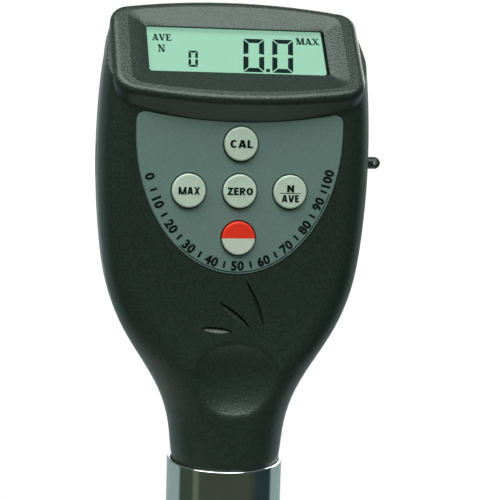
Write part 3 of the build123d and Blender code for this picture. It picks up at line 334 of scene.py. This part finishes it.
def power_plastic():
    """The power key's plastic, red above and pale below."""
    red, pale = (0.9, 0.042, 0.014), (0.61, 0.72, 0.59)
    finish = new_finish("power_plastic", red, 0.4, gloss=0.4)
    low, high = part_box("key_power")
    colour_by(finish, height_on(finish, "Z", low[2], high[2]), [(0, pale), (0.5, red)], "CONSTANT")
    fine = noise(finish, 0.25 * MM)
    wear(finish, fine, 0.34, 0.46)
    emboss(finish, fine, 0.012 * MM, 0.4)
    return finish


def clear_window():
    """Clear plastic that lets the display show through."""
    finish = new_finish("clear_window", (0.04, 0.05, 0.045), 0.08)
    wear(finish, noise(finish, 6 * MM), 0.05, 0.14)
    skin_of(finish).inputs["Alpha"].default_value = 0.05
    return finish


def display_cell():
    """The mint reflector of the liquid crystal cell, a little uneven, with a painted glow that lifts it
    evenly and hides the hood's shadow on it.
    """
    colour = (0.08, 0.16, 0.115)
    finish = new_finish("display_cell", colour, 0.35, gloss=0.1)
    # Painted light: the emission lifts the whole cell evenly, so the hood's shade does not fall on it
    skin_of(finish).inputs["Emission Color"].default_value = (0.36, 0.69, 0.5, 1)
    skin_of(finish).inputs["Emission Strength"].default_value = 0.8
    mottle(finish, noise(finish, 5 * MM, 3.0), colour, 0.05)
    wear(finish, noise(finish, 0.4 * MM), 0.3, 0.42)
    return finish


def chrome_plate():
    """Polished chrome with faint smears."""
    colour = (0.6, 0.64, 0.63)
    finish = new_finish("chrome_plate", colour, 0.07, 1.0)
    smears = noise(finish, 7 * MM, 4.0)
    mottle(finish, smears, colour, 0.04)
    wear(finish, smears, 0.04, 0.1)
    return finish


def copper_winding():
    """Enamelled copper wire, wound turn by turn."""
    colour = (0.55, 0.2, 0.08)
    finish = new_finish("copper_winding", colour, 0.3, 1.0)
    turns = stripes(finish, 0.25 * MM, "Z")
    mottle(finish, turns, colour, 0.35)
    emboss(finish, turns, 0.1 * MM, 0.8)
    return finish


def circuit_board():
    """Green solder mask over copper tracks."""
    finish = new_finish("circuit_board", (0.01, 0.13, 0.045), 0.3)
    tracks = finish.node_tree.nodes.new("ShaderNodeTexBrick")
    turn = finish.node_tree.nodes.new("ShaderNodeMapping")
    turn.inputs["Rotation"].default_value = (pi / 2, 0, 0)
    finish.node_tree.links.new(place_of(finish), turn.inputs["Vector"])
    finish.node_tree.links.new(turn.outputs["Vector"], tracks.inputs["Vector"])
    tracks.inputs["Color1"].default_value = (0.008, 0.12, 0.04, 1)
    tracks.inputs["Color2"].default_value = (0.012, 0.15, 0.05, 1)
    tracks.inputs["Mortar"].default_value = (0.04, 0.26, 0.1, 1)
    tracks.inputs["Scale"].default_value = 220
    tracks.inputs["Mortar Size"].default_value = 0.035
    finish.node_tree.links.new(tracks.outputs["Color"], skin_of(finish).inputs["Base Color"])
    emboss(finish, tracks.outputs["Fac"], 0.03 * MM, 0.5)
    return finish


def chip_epoxy():
    """Black moulding compound of the components, tinned where they meet the board."""
    black, tin = (0.015, 0.015, 0.016), (0.5, 0.5, 0.48)
    finish = new_finish("chip_epoxy", black, 0.45)
    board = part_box("main_board")[1][1]
    colour_by(finish, height_on(finish, "Y", board, board + 2 * MM), [(0, tin), (0.15, black)], "CONSTANT")
    fine = noise(finish, 0.2 * MM)
    wear(finish, fine, 0.38, 0.55)
    emboss(finish, fine, 0.01 * MM, 0.5)
    return finish


def cell_jacket():
    """Battery cell in a plain sleeve, with bare metal ends."""
    sleeve, metal = (0.2, 0.25, 0.22), (0.55, 0.55, 0.53)
    finish = new_finish("cell_jacket", sleeve, 0.3)
    low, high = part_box("battery_cells")
    colour_by(finish, height_on(finish, "Z", low[2], high[2]),
              [(0, metal), (0.03, sleeve), (0.95, metal)], "CONSTANT")
    wear(finish, noise(finish, 2 * MM, 3.0), 0.22, 0.38)
    return finish


def striped(name, colour, other, pitch, direction, roughness):
    """Two colours in fine stripes, slightly ridged."""
    finish = new_finish(name, colour, roughness)
    lines = stripes(finish, pitch, direction)
    colour_by(finish, lines, [(0.35, colour), (0.65, other)])
    emboss(finish, lines, 0.02 * MM, 0.5)
    return finish


def printed_ink():
    """Matt black ink, a little uneven, for the print and also for the painted shade lines round the window,
    the keys and the panel's edge.
    """
    return grained("printed_ink", (0.006, 0.012, 0.009), 0.6, 0.2 * MM, 0.004 * MM, 0.3, gloss=0.05)


def crystal_ink():
    """The dark green-black of switched liquid crystal."""
    return grained("crystal_ink", (0.003, 0.018, 0.016), 0.5, 0.3 * MM, 0.002 * MM, 0.25, gloss=0.02)


def add_finishes():
    """A finish for every material slot of the record."""
    return {
        "case": case_plastic(),
        "panel": panel_sheet(),
        "pale_key": key_plastic(),
        "power_key": power_plastic(),
        "window": clear_window(),
        "display": display_cell(),
        "chrome": chrome_plate(),
        "steel": brushed("turned_steel", (0.5, 0.5, 0.49), 0.28, (1, 1, 12)),
        "spring_steel": brushed("spring_steel", (0.36, 0.36, 0.37), 0.3, (1, 1, 1)),
        "screw_steel": brushed("screw_steel", (0.4, 0.4, 0.39), 0.34, (1, 6, 1)),
        "bronze": grained("bearing_bronze", (0.55, 0.34, 0.13), 0.35, 0.4 * MM, 0.01 * MM, metallic=1.0),
        "black_plastic": grained("black_plastic", (0.014, 0.022, 0.018), 0.5, 0.3 * MM, 0.02 * MM, 0.25,
                                 gloss=0.12),
        "copper": copper_winding(),
        "ferrite": grained("ferrite", (0.04, 0.04, 0.043), 0.6, 0.25 * MM, 0.02 * MM, 0.2),
        "board": circuit_board(),
        "component": chip_epoxy(),
        "mat_rubber": grained("mat_rubber", (0.3, 0.31, 0.31), 0.62, 0.5 * MM, 0.02 * MM, 0.06),
        "zebra_rubber": striped("zebra_rubber", (0.02, 0.02, 0.02), (0.6, 0.58, 0.55), 0.5 * MM, "X", 0.6),
        "ribbon": striped("ribbon", (0.42, 0.2, 0.05), (0.5, 0.27, 0.09), 1.0 * MM, "X", 0.35),
        "lead": grained("lead_sleeve", (0.3, 0.02, 0.018), 0.45, 0.4 * MM, 0.01 * MM),
        "cell": cell_jacket(),
        "contact": brushed("plated_contact", (0.62, 0.6, 0.55), 0.24, (6, 1, 1)),
    }


def dress_frame(finishes):
    """Gives every CAD node the finish of its slot, and the lanyard post the case's own."""
    for part in frame["record"]["subparts"]:
        slot = "case" if part["node"] == "lanyard_post" else part["material_slot"]
        for holder in frame["nodes"][part["node"]].material_slots:
            holder.link = "OBJECT"
            holder.material = finishes[slot]


def new_object(name, data):
    """An object in the scene."""
    thing = bpy.data.objects.new(name, data)
    bpy.context.scene.collection.objects.link(thing)
    return thing


def mesh_from(build, name):
    """The mesh of a finished build."""
    mesh = bpy.data.meshes.new(name)
    build.to_mesh(mesh)
    build.free()
    return mesh


def add_piece(name, mesh, finish, body):
    """A printed piece that moves with a CAD body."""
    mesh.materials.clear()
    mesh.materials.append(finish)
    piece = new_object(name, mesh)
    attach(piece, body)


def leftward(outline):
    """The outline's points in the order that keeps its inside on the left."""
    area = sum(a[0] * b[1] - b[0] * a[1] for a, b in zip(outline, outline[1:] + outline[:1]))
    return outline if area > 0 else outline[::-1]


def prisms(name, outlines):
    """A mesh of flat inlays as thick as the ink: outlines in x and y, merged where they meet."""
    points, rims = [], []
    for outline in outlines:
        rims.append(range(len(points), len(points) + len(outline)))
        points += [Vector((round(x, POINT_DIGITS), round(y, POINT_DIGITS))) for x, y in leftward(outline)]
    places, _, cells, _, _, sources = delaunay_2d_cdt(points, [], rims, INNER_TRIANGLES, MERGE)
    build = bmesh.new()
    corners = [build.verts.new((x, y, 0)) for x, y in places]
    for cell, source in zip(cells, sources):
        if source:
            build.faces.new([corners[i] for i in cell])
    raised = bmesh.ops.extrude_face_region(build, geom=build.faces[:], use_keep_orig=True)["geom"]
    raised = [part for part in raised if isinstance(part, bmesh.types.BMVert)]
    bmesh.ops.translate(build, vec=(0, 0, INK), verts=raised)
    bmesh.ops.recalc_face_normals(build, faces=build.faces)
    return mesh_from(build, name)


def scale_number(value):
    """A number of the scale in the plain built-in typeface, as a mesh centred on the origin."""
    curve = bpy.data.curves.new("number", "FONT")
    curve.body = str(value)
    curve.bevel_depth = NUMBER_BOLD
    curve.bevel_resolution = 0
    curve.space_character = NUMBER_SPACING
    text = new_object("number", curve)
    sight = bpy.context.evaluated_depsgraph_get()
    mesh = bpy.data.meshes.new_from_object(text.evaluated_get(sight))
    bpy.data.objects.remove(text)
    bpy.data.curves.remove(curve)
    low = Vector([min(v.co[i] for v in mesh.vertices) for i in range(3)])
    high = Vector([max(v.co[i] for v in mesh.vertices) for i in range(3)])
    size = NUMBER_HEIGHT / (high.y - low.y)
    foot = Vector(((low.x + high.x) / 2, (low.y + high.y) / 2, low.z))
    mesh.transform(Matrix.Diagonal((size, size, INK / (high.z - low.z), 1)) @ Matrix.Translation(-foot))
    return mesh


def joined(name, meshes):
    """Several meshes as one."""
    build = bmesh.new()
    for mesh in meshes:
        build.from_mesh(mesh)
        bpy.data.meshes.remove(mesh)
    return mesh_from(build, name)


def moved(mesh, place):
    """The mesh after a move."""
    mesh.transform(place)
    return mesh


def display_place():
    """From the display's own plane to the frame: x across, y up the slope, z out of the face."""
    turn = Matrix.Rotation(pi / 2 - FACE_TILT, 4, "X")
    normal = turn @ Vector((0, 0, 1))
    return Matrix.Translation(FACE_CENTRE - normal * INK_DEPTH) @ turn


def front_place(x, height, y):
    """From a flat drawing to an upright plane that faces the front, at a depth."""
    return Matrix.Translation((x, y, height)) @ Matrix.Rotation(pi / 2, 4, "X")


def key_place(key, drop):
    """From a flat drawing to the face of a key, at a distance below its middle."""
    low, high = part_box(key)
    return front_place((low[0] + high[0]) / 2, (low[2] + high[2]) / 2 - drop, low[1])


def rectangle(width, height):
    """The outline of a rectangle about the origin."""
    x, y = width / 2, height / 2
    return [(-x, -y), (x, -y), (x, y), (-x, y)]


def zero_segments(left, low, width, height, lean, stroke):
    """The six lit bars of a seven-bar zero, with mitred ends and a lean to the right."""
    gap = 0.12 * stroke
    half = height / 2
    taper = 0.2 * stroke
    top = [(gap, height), (width - gap, height), (width - stroke - gap, height - stroke),
           (stroke + gap, height - stroke)]
    upper = [(0, height - 2 * gap), (stroke, height - stroke - 2 * gap), (stroke, half + 2 * gap + taper),
             (0, half + 2 * gap)]
    segments = []
    for segment in (top, upper, [(width - x, y) for x, y in upper]):
        segments.append(segment)
        segments.append([(x, height - y) for x, y in segment])
    return [[(left + x + lean * y, low + y) for x, y in segment] for segment in segments]


def slant(foot, head, width):
    """An upright or leaning stroke, one unit high and as wide all the way."""
    return [(foot - width / 2, 0), (foot + width / 2, 0), (head + width / 2, 1), (head - width / 2, 1)]


def bar(left, right, middle, thick=THIN):
    """A level stroke or serif between two sides, about a middle line."""
    low, high = middle - thick / 2, middle + thick / 2
    return [(left, low), (right, low), (right, high), (left, high)]


def serif_letter(letter):
    """The width and the strokes of a bold capital with serifs, one unit high."""
    foot, head = THIN / 2, 1 - THIN / 2
    if letter == "A":
        return 1.04, [slant(0.16, 0.49, THIN), slant(0.84, 0.52, THICK), bar(0.28, 0.7, 0.3),
                      bar(0, 0.34, foot), bar(0.6, 1.04, foot)]
    if letter == "V":
        return 1.04, [slant(0.52, 0.2, THICK), slant(0.55, 0.88, THIN), bar(0, 0.44, head),
                      bar(0.7, 1.04, head)]
    if letter == "E":
        return 0.9, [slant(0.25, 0.25, THICK), bar(0.02, 0.84, head), bar(0.02, 0.9, foot),
                     bar(0.25, 0.62, 0.52), bar(0.76, 0.84, 0.86, 0.28), bar(0.82, 0.9, 0.15, 0.3),
                     bar(0.55, 0.62, 0.52, 0.26)]
    if letter == "N":
        return 1.08, [slant(0.19, 0.19, THIN), slant(0.84, 0.22, THICK), slant(0.9, 0.9, THIN),
                      bar(0.02, 0.38, foot), bar(0, 0.3, head), bar(0.72, 1.08, head)]
    if letter == "M":
        return 1.3, [slant(0.19, 0.19, THIN), slant(0.62, 0.26, THICK), slant(0.64, 1.0, THIN),
                     slant(1.08, 1.08, THICK), bar(0, 0.36, foot), bar(0.88, 1.3, foot), bar(0, 0.34, head),
                     bar(0.98, 1.3, head)]
    return 1.06, [slant(0.82, 0.22, THICK), slant(0.18, 0.86, THIN), bar(0, 0.36, foot),
                  bar(0.62, 1.06, foot), bar(0, 0.44, head), bar(0.68, 1.04, head)]


def band(outer, inner):
    """Two outlines that fill the band between two lines of as many points."""
    middle, count = len(outer) // 2, len(outer)
    return [outer[a:b] + inner[a:b][::-1] for a, b in ((0, middle + 1), (middle, count))]


def arc(x, y, wide, tall, start, end):
    """A round heavy stroke about a centre, between two turns."""
    turns = [start + (end - start) * i / ARC_STEPS for i in range(ARC_STEPS + 1)]
    outer = [(x + wide * cos(t), y + tall * sin(t)) for t in turns]
    inner = [(x + (wide - HEAVY) * cos(t), y + (tall - SLAB) * sin(t)) for t in turns]
    return band(outer, inner)


def block_letter(letter):
    """The width and the strokes of a heavy plain capital, one unit high."""
    half, foot, head = HEAVY / 2, SLAB / 2, 1 - SLAB / 2
    stem = slant(half, half, HEAVY)
    if letter == "A":
        return 1.06, [slant(half, 0.48, HEAVY), slant(1.06 - half, 0.58, HEAVY),
                      bar(0.28, 0.78, 0.28, SLAB)]
    if letter == "C":
        return 0.94, arc(0.5, 0.5, 0.5, 0.5, 0.25 * pi, 1.75 * pi)
    if letter == "E":
        return 0.74, [stem, bar(0, 0.72, head, SLAB), bar(0, 0.74, foot, SLAB), bar(0, 0.66, 0.5, SLAB)]
    if letter == "L":
        return 0.72, [stem, bar(0, 0.72, foot, SLAB)]
    if letter == "M":
        return 1.4, [stem, slant(1.4 - half, 1.4 - half, HEAVY), slant(0.66, 0.2, HEAVY),
                     slant(0.74, 1.2, HEAVY)]
    if letter == "N":
        return 0.96, [stem, slant(0.96 - half, 0.96 - half, HEAVY), slant(0.82, 0.14, HEAVY)]
    if letter == "O":
        return 1.0, arc(0.5, 0.5, 0.5, 0.5, 0, 2 * pi)
    if letter == "R":
        leg = [(0.3, 0.45), (0.58, 0.45), (0.9, 0), (0.6, 0)]
        return 0.9, [stem, leg, bar(0, 0.46, head, SLAB), bar(0, 0.46, 0.5, SLAB),
                     *arc(0.4, 0.7, 0.5, 0.3, -pi / 2, pi / 2)]
    if letter == "V":
        return 1.06, [slant(0.48, half, HEAVY), slant(0.58, 1.06 - half, HEAVY)]
    if letter == "X":
        return 1.04, [slant(half, 1.04 - half, HEAVY), slant(1.04 - half, half, HEAVY)]
    return 0.88, [slant(0.16, 0.72, HEAVY), bar(0.04, 0.86, head, SLAB), bar(0, 0.88, foot, SLAB)]


def drawn_word(word, letters, gap, width, height):
    """A word in drawn letters as a mesh of that size, centred on the origin."""
    left, strokes = 0, []
    for letter in word:
        wide, marks = letters(letter)
        strokes += [[(left + x, y) for x, y in mark] for mark in marks]
        left += wide + gap
    full = left - gap
    strokes = [[(width * (x / full - 0.5), height * (y - 0.5)) for x, y in stroke] for stroke in strokes]
    return prisms(word, strokes)


def add_display(ink):
    """The reading, the count and the small words of the display."""
    place = display_place() @ Matrix.Translation((READING_SHIFT, 0, 0))
    segments = [segment for digit in READING_DIGITS for segment in zero_segments(*digit, READING_STROKE)]
    segments.append(READING_POINT)
    add_piece("reading", moved(prisms("reading", segments), place), ink, "housing")
    segments = zero_segments(*COUNT_DIGIT, COUNT_STROKE)
    add_piece("count", moved(prisms("count", segments), place), ink, "housing")
    words = []
    for word, x, y, width, height in DISPLAY_WORDS:
        mesh = drawn_word(word, serif_letter, SERIF_GAP, width, height)
        words.append(moved(mesh, place @ Matrix.Translation((x, y, 0))))
    add_piece("display_words", joined("display_words", words), ink, "housing")


def rounded(left, low, right, high, corner):
    """A closed line round a rectangle with round corners."""
    middles = ((right - corner, high - corner), (left + corner, high - corner),
               (left + corner, low + corner), (right - corner, low + corner))
    line = []
    for quarter, (x, y) in enumerate(middles):
        for i in range(CORNER_STEPS + 1):
            turn = pi / 2 * (quarter + i / CORNER_STEPS)
            line.append((x + corner * cos(turn), y + corner * sin(turn)))
    return line + line[:1]


def add_display_border(ink):
    """A dark line of painted shade just inside the window's edge, standing for the shaded walls of the
    window's recess.
    """
    strips = band(rounded(*WINDOW_SHADE_REACH, WINDOW_SHADE_CORNER), rounded(*WINDOW_SHADE_SIGHT, WINDOW_SHADE_CORNER))
    add_piece("window_edge_shade", moved(prisms("window_edge_shade", strips), display_place()), ink, "housing")


def add_legends(ink):
    """The function words on the keys, and the line between the average key's two."""
    for key, word, width, height, drop in KEY_WORDS:
        mesh = drawn_word(word, block_letter, BLOCK_GAP, width, height)
        add_piece(key + "_" + word.lower(), moved(mesh, key_place(key, drop)), ink, key)
    mesh = prisms("bar", [rectangle(*FRACTION_BAR)])
    add_piece("key_average_bar", moved(mesh, key_place("key_average", FRACTION_DROP)), ink, "key_average")


def on_bowl(turn, inset):
    """A place inside the panel's bowl in x and z, and the angle that turns a sign upright on it."""
    wide, deep = BOWL_WIDTH - inset, BOWL_DEPTH - inset
    x, z = -wide * cos(turn), BOWL_HEIGHT - deep * sin(turn)
    return x, z, atan2(-deep * cos(turn), wide * sin(turn))


def bowl_steps(count):
    """Turns round the bowl that lie at even distances along it."""
    fine = 2000
    turns = [SCALE_START + (pi - 2 * SCALE_START) * i / fine for i in range(fine + 1)]
    run = [0.0]
    for a, b in zip(turns, turns[1:]):
        xa, za, _ = on_bowl(a, SCALE_INSET)
        xb, zb, _ = on_bowl(b, SCALE_INSET)
        run.append(run[-1] + Vector((xb - xa, zb - za)).length)
    goals = [run[-1] * i / count for i in range(count + 1)]
    return [turns[min(range(fine + 1), key=lambda k: abs(run[k] - goal))] for goal in goals]


def add_scale(ink):
    """A hardness scale from 0 to 100 along the panel's lower edge, and a dark line of painted shade under
    it along the lower right of the bowl, standing for the shaded gap at the panel's edge.
    """
    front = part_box("keypad_panel")[0][1]
    marks = []
    for i, turn in enumerate(bowl_steps(SCALE_STEPS)):
        x, z, angle = on_bowl(turn, SCALE_INSET)
        place = front_place(x, z, front) @ Matrix.Rotation(angle, 4, "Z")
        if i % 2:
            mark = prisms("tick", [rectangle(*TICK)])
        else:
            mark = scale_number(SCALE_TOP * i // SCALE_STEPS)
        marks.append(moved(mark, place))
    add_piece("panel_scale", joined("panel_scale", marks), ink, "housing")
    # Painted shade: the dark line covers only the lower right of the bowl, where the gap at the panel's
    # edge shows in shade
    start, end = EDGE_SHADE_TURNS
    turns = [start + (end - start) * i / ROUND_STEPS for i in range(ROUND_STEPS + 1)]
    outer = [on_bowl(t, EDGE_SHADE_INSET)[:2] for t in turns]
    inner = [on_bowl(t, EDGE_SHADE_INSET + EDGE_SHADE_WIDTH)[:2] for t in turns]
    border = prisms("panel_edge_shade", band(outer, inner))
    add_piece("panel_edge_shade", moved(border, front_place(0, 0, front)), ink, "housing")


def add_key_rings(ink):
    """A dark ring of painted shade round each key's hole in the panel, standing for the shaded gap between
    key and panel.
    """
    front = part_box("keypad_panel")[0][1]
    turns = [2 * pi * i / ROUND_STEPS for i in range(ROUND_STEPS + 1)]
    outer = [((KEY_HOLE + KEY_GAP_SHADE) * cos(t), (KEY_HOLE + KEY_GAP_SHADE) * sin(t)) for t in turns]
    inner = [(KEY_HOLE * cos(t), KEY_HOLE * sin(t)) for t in turns]
    rings = []
    for key in KEYS:
        low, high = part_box(key)
        place = front_place((low[0] + high[0]) / 2, (low[2] + high[2]) / 2, front)
        rings.append(moved(prisms("ring", band(outer, inner)), place))
    add_piece("key_gap_shade", joined("key_gap_shade", rings), ink, "housing")


def coil(name, radius, low, high):
    """A mesh of the spring's wire, wound evenly about the z axis, with closed ends."""
    build = bmesh.new()
    count = SPRING_TURNS * TURN_STEPS
    rings = []
    for i in range(count + 1):
        turn = 2 * pi * i / TURN_STEPS
        ring = []
        for k in range(WIRE_SIDES):
            side = 2 * pi * k / WIRE_SIDES
            reach = radius + SPRING_WIRE * cos(side)
            z = low + (high - low) * i / count + SPRING_WIRE * sin(side)
            ring.append(build.verts.new((reach * cos(turn), reach * sin(turn), z)))
        rings.append(ring)
    for a, b in zip(rings, rings[1:]):
        for k in range(WIRE_SIDES):
            build.faces.new((a[k - 1], a[k], b[k], b[k - 1])).smooth = True
    build.faces.new(rings[0])
    build.faces.new(rings[-1])
    bmesh.ops.recalc_face_normals(build, faces=build.faces)
    return mesh_from(build, name)


def add_spring(finish):
    """The measuring spring, as a coil of wire in place of the CAD spring."""
    low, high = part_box("measuring_spring")
    radius = (high[0] - low[0]) / 2 - SPRING_WIRE
    mesh = coil("measuring_coil", radius, low[2] + SPRING_WIRE, high[2] - SPRING_WIRE)
    mesh.materials.append(finish)
    piece = new_object("measuring_coil", mesh)
    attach(piece, "housing")
    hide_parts("measuring_spring")
    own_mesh(piece)


def add_floor():
    """A round pale table under the tester."""
    build = bmesh.new()
    bmesh.ops.create_circle(build, cap_ends=True, segments=FLOOR_SIDES, radius=FLOOR_RADIUS)
    mesh = mesh_from(build, "floor")
    paper = grained("floor_paper", (0.55, 0.55, 0.54), 0.7, 1.0 * MM, 0.01 * MM, 0.02, gloss=0.2)
    mesh.materials.append(paper)
    floor = new_object("floor", mesh)
    floor.location.z = cad_box[0][2] - FLOOR_GAP


def add_backdrop():
    """A plain white surround behind the tester from every side, which casts no light of its own."""
    build = bmesh.new()
    bmesh.ops.create_icosphere(build, subdivisions=4, radius=BACKDROP_RADIUS)
    mesh = mesh_from(build, "backdrop")
    paper = new_finish("backdrop_paper", (0, 0, 0), 1.0, gloss=0.0)
    skin_of(paper).inputs["Emission Color"].default_value = (1, 1, 1, 1)
    skin_of(paper).inputs["Emission Strength"].default_value = BACKDROP_GLOW
    mesh.materials.append(paper)
    backdrop = new_object("backdrop", mesh)
    backdrop.visible_diffuse = False
    backdrop.visible_glossy = False
    backdrop.visible_transmission = False
    backdrop.visible_shadow = False


def add_camera():
    """A camera at the photograph's viewing angle."""
    right = CAMERA_LOOK.cross(Vector((0, 0, 1))).normalized()
    up = right.cross(CAMERA_LOOK)
    across = right * cos(CAMERA_ROLL) + up * sin(CAMERA_ROLL)
    above = up * cos(CAMERA_ROLL) - right * sin(CAMERA_ROLL)
    data = bpy.data.cameras.new("camera")
    data.lens = CAMERA_LENS
    data.clip_start = 0.01
    camera = new_object("camera", data)
    turn = Matrix((across, above, -CAMERA_LOOK)).transposed()
    camera.matrix_world = Matrix.Translation(CAMERA_PLACE) @ turn.to_4x4()
    bpy.context.scene.camera = camera


def add_light(name, place, size, power):
    """A flat soft light that faces the tester."""
    data = bpy.data.lights.new(name, "AREA")
    data.shape = "RECTANGLE"
    data.size, data.size_y = size
    data.energy = power
    light = new_object(name, data)
    light.location = place
    light.rotation_euler = (Vector(LIGHT_AIM) - Vector(place)).to_track_quat("-Z", "Y").to_euler()


def add_room():
    """Surroundings by compass direction: white behind the tester, hazy at its sides, dim in front."""
    world = bpy.data.worlds.new("room")
    bpy.context.scene.world = world
    world.use_nodes = True
    nodes, links = world.node_tree.nodes, world.node_tree.links
    place = nodes.new("ShaderNodeTexCoord")
    turn = nodes.new("ShaderNodeMapping")
    turn.inputs["Rotation"].default_value = (0, 0, -atan2(-CAMERA_LOOK.y, -CAMERA_LOOK.x))
    around = nodes.new("ShaderNodeTexGradient")
    around.gradient_type = "RADIAL"
    ramp = nodes.new("ShaderNodeValToRGB")
    fill_ramp(ramp.color_ramp, [
        (0.0, WHITE), (0.03, WHITE), (0.06, HAZE), (0.222, HAZE), (0.238, SHADE), (0.32, SHADE),
        (0.335, STREAK), (0.355, STREAK), (0.37, OLIVE), (0.64, OLIVE), (0.7, NAVY), (0.79, NAVY),
        (0.812, HAZE), (0.94, HAZE), (0.97, WHITE), (1.0, WHITE),
    ])
    parts = nodes.new("ShaderNodeSeparateXYZ")
    height = nodes.new("ShaderNodeMapRange")
    height.inputs["From Min"].default_value = CEILING_RISE[0]
    height.inputs["From Max"].default_value = CEILING_RISE[1]
    blend = nodes.new("ShaderNodeMixRGB")
    blend.inputs["Color2"].default_value = (*CEILING, 1)
    links.new(place.outputs["Generated"], turn.inputs["Vector"])
    links.new(place.outputs["Generated"], parts.inputs["Vector"])
    links.new(parts.outputs["Z"], height.inputs["Value"])
    links.new(turn.outputs["Vector"], around.inputs["Vector"])
    links.new(around.outputs["Fac"], ramp.inputs["Fac"])
    links.new(height.outputs["Result"], blend.inputs["Fac"])
    links.new(ramp.outputs["Color"], blend.inputs["Color1"])
    links.new(blend.outputs["Color"], nodes["Background"].inputs["Color"])


finishes = add_finishes()
dress_frame(finishes)
add_display(crystal_ink())
ink = printed_ink()
add_display_border(ink)
add_legends(ink)
add_scale(ink)
add_key_rings(ink)
add_spring(finishes["spring_steel"])
add_floor()
add_backdrop()
add_camera()
add_light("softbox", SOFTBOX_PLACE, SOFTBOX_SIZE, SOFTBOX_POWER)
add_light("fill", FILL_PLACE, FILL_SIZE, FILL_POWER)
add_room()
bpy.context.scene.view_settings.view_transform = "Standard"
